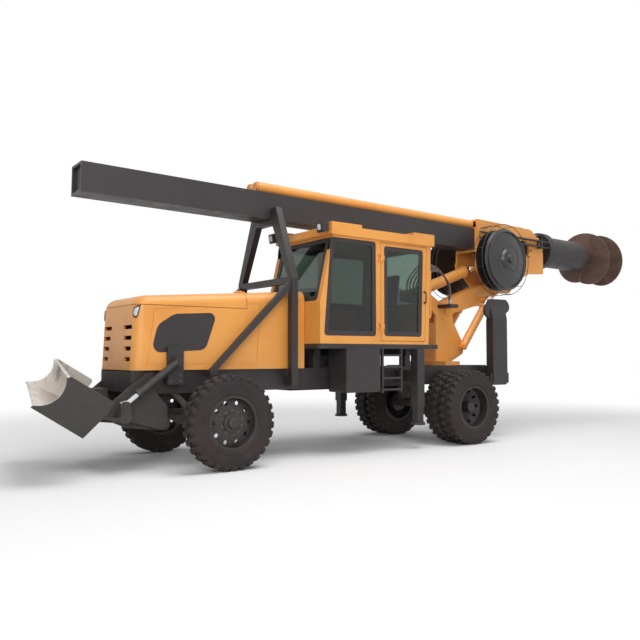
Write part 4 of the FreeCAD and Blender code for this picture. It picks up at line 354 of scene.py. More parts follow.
GRAIN, put, out = shader_group("grain", [("Scale", "v", 180.0), ("Low", "v", 0.35), ("High", "v", 0.5),
                                         ("Stretch", "n", (1.0, 1.0, 1.0))],
                               [("Height", "v"), ("Roughness", "v")])
where = add(GRAIN, "ShaderNodeTexCoord")
pulled = add(GRAIN, "ShaderNodeVectorMath", {0: where.outputs["Object"], 1: put["Stretch"]},
             operation="MULTIPLY")
fine = noise(GRAIN, pulled.outputs[0], put["Scale"], 3.0, 0.6)
smears = noise(GRAIN, where.outputs["Object"], 7.0, 5.0, 0.6)
gloss = add(GRAIN, "ShaderNodeMapRange", {0: smears, 1: 0.3, 2: 0.7, 3: put["Low"],
                                          4: put["High"]}).outputs[0]
GRAIN.links.new(fine, out["Height"])
GRAIN.links.new(gloss, out["Roughness"])
print("groups", DRIFT.name, "and", GRAIN.name)

# %% [markdown]
# ### Scour
# Soil rubs the inside of the blade bright in streaks, with paint left in patches.  The
# faces to rub are those that look towards one point in the hollow, so the mask is the
# face's normal times the way to that point.

# %% Scour the hollow
# Squeezed along Z, the coordinates draw the pattern out into streaks.  Paint that is left is part rubbed.
STREAK, IN_PAINT = (1.0, 1.0, 0.25), 0.35
SCOUR, put, out = shader_group("scour", [("Hollow", "n", (0.0, 0.0, 0.0)), ("Low", "v", 0.0),
                                         ("High", "v", 0.1)],
                               [("Mask", "v")])
where = add(SCOUR, "ShaderNodeTexCoord")
to_hollow = add(SCOUR, "ShaderNodeVectorMath", {0: put["Hollow"], 1: where.outputs["Object"]},
                operation="SUBTRACT")
facing = add(SCOUR, "ShaderNodeVectorMath", {0: where.outputs["Normal"], 1: to_hollow.outputs[0]},
             operation="DOT_PRODUCT").outputs["Value"]
front = add(SCOUR, "ShaderNodeMapRange", {0: facing, 1: put["Low"], 2: put["High"]},
            interpolation_type="SMOOTHSTEP")
streaks = add(SCOUR, "ShaderNodeVectorMath", {0: where.outputs["Object"], 1: STREAK}, operation="MULTIPLY")
left = step_between(SCOUR, noise(SCOUR, streaks.outputs[0], 9.0, 7.0, 0.7), 0.30, 0.48, bottom=IN_PAINT)
SCOUR.links.new(times(SCOUR, front.outputs[0], left), out["Mask"])
print("shared effects:", ", ".join(g.name for g in bpy.data.node_groups))

# %% [markdown]
# ## The finishes
# The rig is painted yellow-orange, black and dark grey over steel, and the inside of the
# blade is rubbed bright.  Round the paints come tyre rubber, tinted cab glass, hard
# chrome on the rods, cast metal, hose rubber, seat cloth and the soil-stained steel of
# the auger.  Every finish is one Principled shader, and the shared effects feed its
# colour, roughness and bump.

# %% Lay colour over colour
def srgb(red, green, blue):
    """A colour on the usual 0 to 255 scale, as the shader wants it."""
    scaled = (value / 255 for value in (red, green, blue))
    return tuple(v / 12.92 if v <= 0.04045 else ((v + 0.055) / 1.055) ** 2.4 for v in scaled) + (1.0,)


def effect(tree, group, **inputs):
    """The outputs of a shared effect, with its inputs set by name."""
    return add(tree, "ShaderNodeGroup", inputs, node_tree=group).outputs


def over(tree, share, under, upper):
    """The upper colour laid over the one under it by a mask."""
    return add(tree, "ShaderNodeMix", {"Factor": share, 6: under, 7: upper}, data_type="RGBA").outputs[2]


print("white is", srgb(255, 255, 255))

# %% Wire one finish
DUST_DULLS, BUMP_HEIGHT, COAT_ROUGHNESS = 0.45, 0.004, 0.25


def finish(name, colour, second, gloss, metal=0.0, coat=0.0, wear=(0.5, 0.008), under=(90, 84, 80),
           dust=(0.35, 0.1, 1.3), dust_colour=(150, 138, 122), grain=(220.0, 0.05), stretch=(1, 1, 1),
           drift=1.6, scoured=None):
    """A finish with drifting colour, rubbed edges, settled dust and a grain in its gloss and bump.

    gloss is the least and greatest roughness, wear the share and width of rubbed edges, dust its
    share and the heights between which it thins out, grain the scale and strength of the bump.
    scoured is a point in a hollow, with the colour and the limits of the faces round it that work
    has rubbed down to bright steel.
    """
    made = bpy.data.materials.new(name)
    made.use_nodes = True
    tree = made.node_tree
    shader = tree.nodes["Principled BSDF"]
    base = effect(tree, DRIFT, Colour=srgb(*colour), Second=srgb(*second), Scale=drift)["Colour"]
    rubbed = effect(tree, EDGE_WEAR, Width=wear[1], Amount=wear[0])["Mask"]
    settled = effect(tree, DUST, Amount=dust[0], Low=dust[1], High=dust[2])["Mask"]
    grained = effect(tree, GRAIN, Scale=grain[0], Low=gloss[0], High=gloss[1], Stretch=stretch)
    painted = over(tree, rubbed, base, srgb(*under))
    if scoured:
        hollow, bright, low, high = scoured
        painted = over(tree, effect(tree, SCOUR, Hollow=hollow, Low=low, High=high)["Mask"], painted,
                       srgb(*bright))
    tree.links.new(over(tree, settled, painted, srgb(*dust_colour)), shader.inputs["Base Color"])
    dulled = add(tree, "ShaderNodeMath", {0: settled, 1: DUST_DULLS, 2: grained["Roughness"]},
                 operation="MULTIPLY_ADD", use_clamp=True)
    tree.links.new(dulled.outputs[0], shader.inputs["Roughness"])
    bump = add(tree, "ShaderNodeBump", {"Height": grained["Height"], "Strength": grain[1],
                                        "Distance": BUMP_HEIGHT})
    tree.links.new(bump.outputs[0], shader.inputs["Normal"])
    shader.inputs["Metallic"].default_value = metal
    shader.inputs["Coat Weight"].default_value = coat
    shader.inputs["Coat Roughness"].default_value = COAT_ROUGHNESS
    return made


print("a finish reads", len(bpy.data.node_groups), "shared effects")

# %% Mix the paints
orange = finish("orange_paint", (231, 158, 74), (222, 148, 66), gloss=(0.36, 0.50), coat=0.15,
                wear=(0.55, 0.008), under=(120, 92, 66), dust=(0.30, 0.8, 1.7), dust_colour=(205, 170, 125),
                grain=(160.0, 0.04))
black = finish("black_paint", (47, 41, 42), (40, 35, 36), gloss=(0.42, 0.58), under=(104, 98, 94),
               dust=(0.30, 0.1, 1.3), dust_colour=(92, 82, 75))
gloss_black = finish("gloss_black", (34, 30, 31), (27, 24, 25), gloss=(0.24, 0.38), coat=0.3,
                     wear=(0.4, 0.006), under=(96, 90, 86), dust=(0.22, 0.3, 1.5), dust_colour=(88, 78, 72))
grey = finish("grey_paint", (54, 50, 46), (46, 43, 40), gloss=(0.48, 0.62), under=(128, 124, 118),
              dust=(0.30, 0.1, 1.3), dust_colour=(96, 88, 80))
scoured_grey = finish("scoured_grey", (50, 46, 42), (43, 40, 37), gloss=(0.45, 0.60),
                      under=(128, 124, 118), dust=(0.20, 0.1, 1.3), dust_colour=(90, 82, 74),
                      scoured=((5.35, 0.0, 1.10), (228, 220, 211), 0.02, 0.10))
print("paints:", orange.name, black.name, gloss_black.name, grey.name, scoured_grey.name)

# %% Mix the metals, rubber and cloth
rubber = finish("tyre_rubber", (41, 32, 32), (34, 28, 28), gloss=(0.72, 0.88), wear=(0.5, 0.010),
                under=(92, 86, 80), dust=(0.50, 0.0, 0.9), dust_colour=(80, 68, 61), grain=(320.0, 0.25),
                drift=3.0)
steel = finish("bare_steel", (186, 182, 176), (150, 146, 142), gloss=(0.22, 0.42), metal=0.85,
               wear=(0.3, 0.008), under=(215, 212, 206), dust=(0.4, 0.1, 1.0), grain=(90.0, 0.12),
               stretch=(0.15, 1.0, 4.0), drift=4.0)
chrome = finish("chrome_rod", (222, 222, 224), (205, 206, 210), gloss=(0.08, 0.18), metal=1.0,
                wear=(0.0, 0.002), dust=(0.15, 0.1, 1.3), grain=(300.0, 0.02))
hose = finish("hose_rubber", (52, 48, 47), (42, 39, 38), gloss=(0.42, 0.6), wear=(0.0, 0.002),
              dust=(0.4, 0.2, 1.8), dust_colour=(112, 102, 92), grain=(420.0, 0.15))
dusty_hose = finish("dusty_hose", (98, 90, 82), (72, 66, 62), gloss=(0.5, 0.7), wear=(0.0, 0.002),
                    dust=(0.5, 0.2, 1.8), dust_colour=(142, 130, 116), grain=(420.0, 0.15), drift=7.0)
cloth = finish("seat_cover", (52, 50, 54), (44, 42, 46), gloss=(0.75, 0.9), wear=(0.25, 0.010),
               under=(88, 84, 84), dust=(0.2, 0.5, 1.2), grain=(700.0, 0.5))
cast = finish("cast_metal", (78, 74, 72), (64, 60, 60), gloss=(0.5, 0.7), metal=0.35, wear=(0.6, 0.006),
              under=(140, 134, 128), grain=(240.0, 0.35))
soil_steel = finish("soil_stained_steel", (100, 76, 66), (80, 60, 52), gloss=(0.55, 0.8), metal=0.3,
                    wear=(0.8, 0.010), under=(150, 138, 128), dust=(0.25, 2.0, 4.0),
                    dust_colour=(120, 92, 72), grain=(60.0, 0.5), drift=4.0)
print(len(bpy.data.materials), "materials so far, the floor's included")

# %% [markdown]
# ### Glass, and a finish for every node
# The panes are plain transmitting glass, because a visual model has to carry them to
# other programs.  Then each frame node gets the finish of its slot.

# %% Glaze the cab
CLEAN_ROUGHNESS, SMUDGE_ROUGHENS, GLASS_IOR = 0.02, 0.12, 1.45


def tinted_glass():
    """Plain transmitting glass with a faint green tint and smudges."""
    made = bpy.data.materials.new("window_glass")
    made.use_nodes = True
    tree = made.node_tree
    shader = tree.nodes["Principled BSDF"]
    smudge = effect(tree, DUST, Amount=0.5, Low=1.4, High=2.4, Scale=3.0)["Mask"]
    tint = over(tree, smudge, srgb(118, 132, 124), srgb(150, 152, 142))
    tree.links.new(tint, shader.inputs["Base Color"])
    haze = add(tree, "ShaderNodeMath", {0: smudge, 1: SMUDGE_ROUGHENS, 2: CLEAN_ROUGHNESS},
               operation="MULTIPLY_ADD")
    tree.links.new(haze.outputs[0], shader.inputs["Roughness"])
    shader.inputs["Transmission Weight"].default_value = 1.0
    shader.inputs["IOR"].default_value = GLASS_IOR
    return made


glass = tinted_glass()
print("glass:", glass.name)

# %% Paint the frame
FINISHES = {"orange_paint": orange, "black_paint": black, "grey_paint": grey, "tyre_rubber": rubber,
            "window_glass": glass, "bare_steel": steel, "chrome_rod": chrome, "hose_rubber": hose,
            "seat_cover": cloth, "cast_metal": cast}
# Four nodes have a finish of their own, whatever their slot.
SPECIAL = {"auger": soil_steel, "dozer_blade": scoured_grey, "hose_reels": gloss_black,
           "kelly_tube": gloss_black}
for name, node in NODES.items():
    node.data.materials.clear()
    node.data.materials.append(SPECIAL.get(name, FINISHES[SLOT_OF[name]]))
for arch in hoses:
    arch.data.materials.append(dusty_hose)
print("finished", len(NODES), "frame nodes,", len(SPECIAL), "of them in a finish of their own")

# %% [markdown]
# ## Tools for building pieces
# Each new piece is one mesh that rides on a body of the frame.  Most of them are skins
# over rings of points, and a turned part is the plainest of these: its rings are
# circles.  What repeats is grown by a geometry-node tree, and we keep its result as a
# plain mesh, which stays the same wherever it is used.

# %% Skin and turn
def skinned(work, loops, closed=False):
    """Joins loops of points one to the next with faces; a loop of one point closes to a tip."""
    rings = [[work.verts.new(point) for point in loop] for loop in loops]
    for low, high in list(zip(rings, rings[1:])) + ([(rings[-1], rings[0])] if closed else []):
        for i in range(max(len(low), len(high))):
            corners = [low[i % len(low)], low[(i + 1) % len(low)], high[(i + 1) % len(high)],
                       high[i % len(high)]]
            work.faces.new(list(dict.fromkeys(corners)))


def turned(work, profile, place, steps, closed=False):
    """Spins a (radius, height) profile round the local Z axis; a radius of 0 closes it to a point."""
    loops = []
    for radius, height in profile:
        angles = (math.tau * i / steps for i in range(steps if radius else 1))
        loops.append([place @ Vector((radius * math.cos(a), radius * math.sin(a), height)) for a in angles])
    skinned(work, loops, closed)


print("skins and turned forms can be made")

# %% Finish a mesh
def mesh_of(holder):
    """The evaluated shape of an object as a plain mesh; the object itself is removed."""
    bpy.context.view_layer.update()
    graph = bpy.context.evaluated_depsgraph_get()
    shape = bpy.data.meshes.new_from_object(holder.evaluated_get(graph), preserve_all_data_layers=True,
                                            depsgraph=graph)
    bpy.data.objects.remove(holder)
    return shape


def shape_from(work, name, sharp=32.0):
    """Turns a mesh in the making into a finished one, normals outwards and smooth between sharp edges."""
    bmesh.ops.remove_doubles(work, verts=work.verts, dist=1e-6)
    bmesh.ops.recalc_face_normals(work, faces=work.faces)
    shape = bpy.data.meshes.new(name)
    work.to_mesh(shape)
    work.free()
    shape.shade_smooth()
    shape.set_sharp_from_angle(angle=math.radians(sharp))
    return shape


print("meshes can be finished")

# %% Ride a piece on a body
PIECES = {}


def piece(name, shape, body, slot, material, *replaced):
    """A finished piece: its mesh, the body it rides on, its slot, which is not used, and the frame nodes it
    stands for.
    """
    shape.materials.clear()
    shape.materials.append(material)
    shape.name = name
    made = shown(name, shape)
    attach(made, body)
    if replaced:
        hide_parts(*replaced)
    PIECES[name] = len(shape.polygons)
    return made


print("pieces so far:", len(PIECES))

# %% Grow a mesh with a node tree
def shape_tree(name, inputs):
    """An empty geometry-node tree with named inputs, and the two ends to wire it to."""
    tree = bpy.data.node_groups.new(name, "GeometryNodeTree")
    tree.interface.new_socket("Geometry", in_out="INPUT", socket_type="NodeSocketGeometry")
    for label, kind in inputs:
        tree.interface.new_socket(label, in_out="INPUT", socket_type=f"NodeSocket{kind}")
    tree.interface.new_socket("Geometry", in_out="OUTPUT", socket_type="NodeSocketGeometry")
    return tree, tree.nodes.new("NodeGroupInput").outputs, tree.nodes.new("NodeGroupOutput").inputs


def grown(name, tree, seed, sharp=32.0, **settings):
    """Runs a geometry-node tree on a seed mesh and keeps what it grows as a plain mesh."""
    holder = shown(name, seed)
    growth = holder.modifiers.new("growth", "NODES")
    growth.node_group = tree
    for item in tree.interface.items_tree:
        if item.in_out == "INPUT" and item.name in settings:
            growth[item.identifier] = settings[item.name]
    shape = mesh_of(holder)
    shape.shade_smooth()
    shape.set_sharp_from_angle(angle=math.radians(sharp))
    return shape


def parked(name, shape):
    """An object that only a tree reads: it is in no collection, so it never shows."""
    return bpy.data.objects.new(name, shape)


print("node trees can be run")

# %% [markdown]
# ## Tyres
# The engineering tyres are plain rings.  A site tyre has a rounded casing and deep
# V-shaped lugs that run over the shoulder.  We turn the casing from half a profile,
# build one lug, and a geometry-node tree sets thirty of them round the casing
# and repeats the whole tyre on a twin wheel.  Two array modifiers could do it as well,
# but one tree serves all four wheel sets with a few inputs.

# %% Turn the casing
# Half of the casing's outline, from the rim's seat over the side wall: (radius, distance from the middle).
TYRE_HALF = [(0.290, 0.088), (0.296, 0.100), (0.312, 0.106), (0.330, 0.111), (0.334, 0.114), (0.340, 0.111),
             (0.380, 0.1155), (0.420, 0.1165), (0.455, 0.114), (0.480, 0.108), (0.494, 0.098), (0.499, 0.080)]
CASING_RADIUS = 0.500
ALONG_Y = Matrix.Rotation(math.radians(-90), 4, "X")
outline = TYRE_HALF + [(CASING_RADIUS, 0.0)] + [(r, -y) for r, y in reversed(TYRE_HALF)]
work = bmesh.new()
turned(work, outline, ALONG_Y, steps=96, closed=True)
casing = shape_from(work, "casing", sharp=60.0)
print("casing:", len(casing.polygons), "faces")

# %% Build one lug
LUGS = 30
LUG_FLARE, LUG_TAPER, LUG_EDGE = 0.006, 0.004, 0.003
# One half of a lug in sections: outer (y, radius), inner (y, radius), middle x and half width.
LUG_SECTIONS = [((0.006, 0.5235), (0.006, 0.490), 0.020, 0.030),
                ((0.030, 0.5240), (0.030, 0.490), 0.002, 0.030),
                ((0.058, 0.5235), (0.058, 0.490), -0.014, 0.031),
                ((0.100, 0.5225), (0.094, 0.488), 0.006, 0.032),
                ((0.1135, 0.510), (0.102, 0.482), 0.014, 0.031),
                ((0.1168, 0.478), (0.104, 0.472), 0.016, 0.028)]
work = bmesh.new()
half_pitch = Matrix.Rotation(math.pi / LUGS, 4, "Y")
for mirror in (1, -1):
    rows = []
    for (y_out, r_out), (y_in, r_in), x, half in LUG_SECTIONS:
        corners = [Vector((x - half - LUG_FLARE, y_in, r_in)), Vector((x - half + LUG_TAPER, y_out, r_out)),
                   Vector((x + half - LUG_TAPER, y_out, r_out)), Vector((x + half + LUG_FLARE, y_in, r_in))]
        for corner in corners:
            corner.y *= mirror
        if mirror < 0:
            corners = [half_pitch @ corner for corner in corners]
        rows.append([work.verts.new(corner) for corner in corners])
    for low, high in zip(rows, rows[1:]):
        for i in range(4):
            work.faces.new((low[i - 1], low[i], high[i], high[i - 1]))
    work.faces.new(rows[0])
    work.faces.new(rows[-1])
bmesh.ops.recalc_face_normals(work, faces=work.faces)
bmesh.ops.bevel(work, geom=list(work.edges), offset=LUG_EDGE, segments=1, affect="EDGES", clamp_overlap=True)
lug = parked("tyre_lug", shape_from(work, "tyre_lug"))
print("lug:", len(lug.data.polygons), "faces")

# %% Wire the tyre tree
TYRE_TREE, put, out = shape_tree("tyre_tree", [("Lug", "Object"), ("Lugs", "Int"), ("Centre", "Vector"),
                                               ("Spacing", "Float"), ("Tyres", "Int"),
                                               ("Finish", "Material")])
one_lug = add(TYRE_TREE, "GeometryNodeObjectInfo", {"Object": put["Lug"]}).outputs["Geometry"]
spots = add(TYRE_TREE, "GeometryNodeMeshLine", {"Count": put["Lugs"], "Offset": (0, 0, 0)}).outputs[0]
step = add(TYRE_TREE, "ShaderNodeMath", {0: math.tau, 1: put["Lugs"]}, operation="DIVIDE").outputs[0]
index = add(TYRE_TREE, "GeometryNodeInputIndex").outputs[0]
turn = add(TYRE_TREE, "ShaderNodeCombineXYZ", {"Y": times(TYRE_TREE, index, step)}).outputs[0]
tread = add(TYRE_TREE, "GeometryNodeInstanceOnPoints",
            {"Points": spots, "Instance": one_lug, "Rotation": turn})
tyre = add(TYRE_TREE, "GeometryNodeJoinGeometry")
TYRE_TREE.links.new(put["Geometry"], tyre.inputs[0])
TYRE_TREE.links.new(tread.outputs[0], tyre.inputs[0])
gap = add(TYRE_TREE, "ShaderNodeCombineXYZ", {"Y": put["Spacing"]}).outputs[0]
hubs = add(TYRE_TREE, "GeometryNodeMeshLine", {"Count": put["Tyres"], "Start Location": put["Centre"],
                                               "Offset": gap})
pair = add(TYRE_TREE, "GeometryNodeInstanceOnPoints",
           {"Points": hubs.outputs[0], "Instance": tyre.outputs[0]})
plain = add(TYRE_TREE, "GeometryNodeRealizeInstances", {0: pair.outputs[0]}).outputs[0]
finished = add(TYRE_TREE, "GeometryNodeSetMaterial",
               {"Geometry": plain, "Material": put["Finish"]}).outputs[0]
TYRE_TREE.links.new(finished, out[0])
print("tyre tree:", len(TYRE_TREE.nodes), "nodes")

# %% Tread every tyre
TWIN_STEP = 0.285
# For each wheel set its tyre node, rim node, nuts, body and how many tyres it has.
WHEELS = [("front_tyre_left", "front_rim_left", "front_nuts_left", "front_wheel_l", 1),
          ("front_tyre_right", "front_rim_right", "front_nuts_right", "front_wheel_r", 1),
          ("rear_tyres_left", "rear_rims_left", "rear_nuts_left", "rear_wheel_l", 2),
          ("rear_tyres_right", "rear_rims_right", "rear_nuts_right", "rear_wheel_r", 2)]
for node, rim, _, body, count in WHEELS:
    hub, middle = middle_of(rim), middle_of(node)
    twin_step = math.copysign(TWIN_STEP, -hub.y)
    outermost = (hub.x, middle.y - twin_step * (count - 1) / 2, hub.z)
    shape = grown(node, TYRE_TREE, casing, sharp=40.0, Lug=lug, Lugs=LUGS, Centre=outermost,
                  Spacing=twin_step, Tyres=count, Finish=rubber)
    piece(f"{node}_tread", shape, body, "tyre_rubber", rubber, node)
print("tyres:", {name: count for name, count in PIECES.items() if "tyre" in name})

# %% [markdown]
# ## Bolts and nuts
# One hexagon bolt on a washer is modelled once.  A second tree puts a copy on every
# point it is given and turns it to the point's own axis, with the point's own size.
# We find the points by looking along a ray until it meets the steel, so that each
# washer sits flat on the surface that carries it.  Bolts placed by typed numbers could
# float or sink.

# %% Model one bolt
work = bmesh.new()
turned(work, [(0, 0), (1.28, 0), (1.28, 0.16), (1.20, 0.20), (0, 0.20)], Matrix(), steps=16)
turned(work, [(0, 0.18), (1.0, 0.18), (1.0, 0.72), (0.84, 0.84), (0.46, 0.84), (0.46, 1.06), (0, 1.10)],
       Matrix(), steps=6)
bolt = parked("hex_bolt", shape_from(work, "hex_bolt"))
print("bolt:", len(bolt.data.polygons), "faces")

# %% Set copies on points
BOLT_TREE, put, out = shape_tree("bolt_tree", [("Bolt", "Object"), ("Finish", "Material")])
axis = add(BOLT_TREE, "GeometryNodeInputNamedAttribute", {"Name": "axis"},
           data_type="FLOAT_VECTOR").outputs[0]
size = add(BOLT_TREE, "GeometryNodeInputNamedAttribute", {"Name": "size"}, data_type="FLOAT").outputs[0]
turn = add(BOLT_TREE, "FunctionNodeAlignRotationToVector", {"Vector": axis}, axis="Z").outputs[0]
head = add(BOLT_TREE, "GeometryNodeObjectInfo", {"Object": put["Bolt"]}).outputs["Geometry"]
set_on = add(BOLT_TREE, "GeometryNodeInstanceOnPoints", {"Points": put["Geometry"], "Instance": head,
                                                         "Rotation": turn, "Scale": size}).outputs[0]
plain = add(BOLT_TREE, "GeometryNodeRealizeInstances", {0: set_on}).outputs[0]
finished = add(BOLT_TREE, "GeometryNodeSetMaterial",
               {"Geometry": plain, "Material": put["Finish"]}).outputs[0]
BOLT_TREE.links.new(finished, out[0])
print("bolt tree:", len(BOLT_TREE.nodes), "nodes")

# %% Find the steel
def seated(node, start, direction):
    """Where a ray from start first meets a frame node, and the surface normal there."""
    hit, spot, normal, _ = NODES[node].ray_cast(Vector(start), Vector(direction))
    if not hit:
        raise RuntimeError(f"nothing of {node} lies along {tuple(direction)} from {tuple(start)}")
    return spot, normal


def circle(middle, radius, count, start=0.0):
    """Points round an axis along Y."""
    angles = (start + math.tau * i / count for i in range(count))
    return [Vector(middle) + Vector((math.cos(a) * radius, 0, math.sin(a) * radius)) for a in angles]


print("rays can find the steel")

# %% Bolt what was found
def copies(name, shown, spots, axes, sizes, body, slot, material):
    """A piece made of copies of one parked object, each with its own spot, axis and size."""
    seed = bpy.data.meshes.new(name)
    seed.from_pydata(spots, [], [])
    seed.attributes.new("axis", "FLOAT_VECTOR", "POINT").data.foreach_set("vector", axes)
    seed.attributes.new("size", "FLOAT", "POINT").data.foreach_set("value", sizes)
    piece(name, grown(name, BOLT_TREE, seed, Bolt=shown, Finish=material), body, slot, material)


SUNK = 0.0005


def bolted(name, body, rows):
    """Bolts for rows of (node, points, ray direction, size); each washer is sunk a little into its seat."""
    spots, axes, sizes = [], [], []
    for node, points, direction, size in rows:
        for point in points:
            spot, normal = seated(node, point, direction)
            spots.append(spot - normal * SUNK)
            axes.extend(normal)
            sizes.append(size)
    copies(name, bolt, spots, axes, sizes, body, "cast_metal", cast)


print("washers are sunk by", SUNK, "m")

# %% Bolt the wheels
NUT_CIRCLE, CAP_CIRCLE, FIRST_NUT = 0.128, 0.045, 0.31
# Rays that look for steel start this far out to the side.
OUTSIDE = 1.10
for _, rim, nuts, body, _ in WHEELS:
    hub = middle_of(rim)
    side = math.copysign(1, hub.y)
    start, inwards = (hub.x, OUTSIDE * side, hub.z), (0, -side, 0)
    bolted(nuts, body, [
        (rim, circle(start, NUT_CIRCLE, 10, FIRST_NUT), inwards, 0.015),
        (rim, circle(start, CAP_CIRCLE, 6), inwards, 0.004),
    ])
print("bolt pieces:", [name for name in PIECES if "nuts" in name])

# %% [markdown]
# ## Window frames
# A dark frame runs round each pane of the cab but the rear one.  We read the panes from
# the frame, keep the face of each that looks out, and build a flat ring on it.  Its
# corners are true arcs: a weighted curve with three control points draws them exactly.
# A bevelled curve would be quicker, but it can't lie flat on the glass as a pressed frame
# does.

# %% Find a pane's corners
def eased(corners, radius):
    """A closed outline through a few corners, each rounded to one radius."""
    points, steps = [], 6
    for i, corner in enumerate(corners):
        back = (corners[i - 1] - corner).normalized()
        ahead = (corners[(i + 1) % len(corners)] - corner).normalized()
        half_turn = (math.pi - back.angle(ahead)) / 2
        first, last = (corner + way * radius * math.tan(half_turn) for way in (back, ahead))
        for k in range(steps + 1):
            s = k / steps
            shares = ((1 - s) ** 2, 2 * s * (1 - s) * math.cos(half_turn), s * s)
            points.append((first * shares[0] + corner * shares[1] + last * shares[2]) / sum(shares))
    return points


SHORTEST_SIDE = 0.12


def frame_corners(face, inset):
    """Where the long sides of a pane meet once they are moved inwards by an inset."""
    sides = []
    for loop in face.loops:
        start, end = loop.vert.co, loop.link_loop_next.vert.co
        if (end - start).length > SHORTEST_SIDE:
            inwards = face.normal.cross((end - start).normalized()) * inset
            sides.append((start + inwards, end + inwards))
    return [intersect_line_line(*sides[i - 1], *sides[i])[0] for i in range(len(sides))]


print("corners can be moved in and rounded")

# %% Frame the windows
FRAME_WIDTH, FRAME_DEPTH, FRAME_CORNER, FRAME_INSET = 0.062, 0.012, 0.020, 0.0005
# A face is a pane when it is at least this large, and a normal with a lower x looks back.
LEAST_AREA, REARMOST = 0.1, -0.5


def window_frames(name, body, node):
    """A flat ring on the outer face of each pane of a node, but not on a face that looks back."""
    panes = bmesh.new()
    panes.from_mesh(NODES[node].data)
    bmesh.ops.remove_doubles(panes, verts=panes.verts, dist=1e-5)
    bmesh.ops.dissolve_limit(panes, angle_limit=math.radians(1), verts=panes.verts, edges=panes.edges)
    panes.normal_update()
    work = bmesh.new()
    for face in panes.faces:
        outwards = face.normal.dot(face.calc_center_median() - CAB_MIDDLE) > 0
        if face.calc_area() > LEAST_AREA and outwards and face.normal.x > REARMOST:
            lift = face.normal * FRAME_DEPTH
            outer = eased(frame_corners(face, FRAME_INSET), FRAME_CORNER)
            inner = eased(frame_corners(face, FRAME_WIDTH), FRAME_CORNER)
            skinned(work, [outer, [p + lift for p in outer], [p + lift for p in inner], inner], closed=True)
    panes.free()
    piece(name, shape_from(work, name), body, "black_paint", black)


cab_low, cab_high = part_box("cab_shell")
CAB_MIDDLE = (cab_low + cab_high) / 2
window_frames("window_trims", "chassis", "cab_glass")
window_frames("door_trim", "door", "door_glass")
print("window frames:", PIECES["window_trims"], "and", PIECES["door_trim"], "faces")

# %% [markdown]
# ## Lamps
# A leaf-shaped headlamp wraps each front corner of the bonnet, and two square work
# lamps look forwards from the roof.  Each is a dark rim with a domed lens in it, laid
# over the surface behind, so the headlamps follow the rounded corner.  Cutting them into
# the shell isn't open to us, because the engineering shapes stay as they are.

# %% Draw and lay a patch
def rounded(width, height, radius):
    """The outline of a rectangle with rounded corners, about its middle."""
    points, steps = [], 5
    for corner, (sx, sy) in enumerate(((1, 1), (-1, 1), (-1, -1), (1, -1))):
        for i in range(steps + 1):
            a = math.pi / 2 * (corner + i / steps)
            points.append((sx * (width / 2 - radius) + radius * math.cos(a),
                           sy * (height / 2 - radius) + radius * math.sin(a)))
    return points


def patch(work, node, outline, middle, direction, rings):
    """Lays a closed outline over a frame surface.  Each ring is a share of the outline and a lift off it."""
    inwards = Vector(direction).normalized()
    side = inwards.cross(Vector((0, 0, 1))).normalized()
    up = side.cross(inwards)
    loops = []
    for share, lift in rings:
        hits = [seated(node, Vector(middle) + side * x * share + up * y * share, inwards)
                for x, y in (outline if share else outline[:1])]
        loops.append([spot + normal * lift for spot, normal in hits])
    skinned(work, loops)


print("patches can be laid")

# %% Fit the lamps
LEAF = [(0.050, 0.074), (0.012, 0.066), (-0.024, 0.048), (-0.041, 0.018), (-0.044, -0.022), (-0.034, -0.054),
        (-0.014, -0.070), (0.008, -0.066), (0.022, -0.040), (0.032, 0.000), (0.042, 0.040)]
SQUARE = rounded(0.100, 0.100, 0.018)
# Each ring of a lamp is a share of its outline and a lift off the surface.
RIM = [(0, 0.001), (0.70, 0.001), (0.74, 0.009), (0.90, 0.011), (1.0, 0.007), (1.0, -0.003)]
LENS = [(0, 0.0), (0.74, 0.0), (0.70, 0.008), (0.54, 0.012), (0.28, 0.014), (0, 0.015)]
lens_glass = finish("lamp_glass", (214, 217, 220), (196, 200, 206), gloss=(0.06, 0.18), coat=0.6,
                    wear=(0.0, 0.002), dust=(0.15, 0.1, 1.3), grain=(26.0, 0.5), stretch=(1, 6, 1),
                    drift=9.0)
# For each lamp an outline, the point that its rays start round, and their direction.
HEADLAMPS = [([(x * side, y) for x, y in LEAF], (4.70, 0.74 * side, 1.742), (-0.707, -0.707 * side, 0))
             for side in (1, -1)]
WORK_LAMPS = [(SQUARE, (2.60, y, 2.862), (-1, 0, 0)) for y in (0.810, -0.310)]
for label, node, lamps in (("headlamp", "bonnet_shell", HEADLAMPS),
                           ("work_lamp", "cab_fittings", WORK_LAMPS)):
    for part, rings, slot, paint in (("rims", RIM, "black_paint", black),
                                     ("lenses", LENS, "window_glass", lens_glass)):
        work = bmesh.new()
        for outline, middle, inwards in lamps:
            patch(work, node, outline, middle, inwards, rings)
        name = f"{label}_{part}"
        piece(name, shape_from(work, name), "chassis", slot, paint)
print("lamps:", [name for name in PIECES if "lamp" in name])

# %% [markdown]
# ## Hose ends, reel ribs and more bolts
# Every hose ends in a hexagon and a crimped sleeve.  They repeat, so the bolt tree sets
# them too, with a fitting in place of the bolt.  Raised rings stiffen the outer face of
# each reel, and rows of bolts hold the towers, the reels and the housing's side plates.

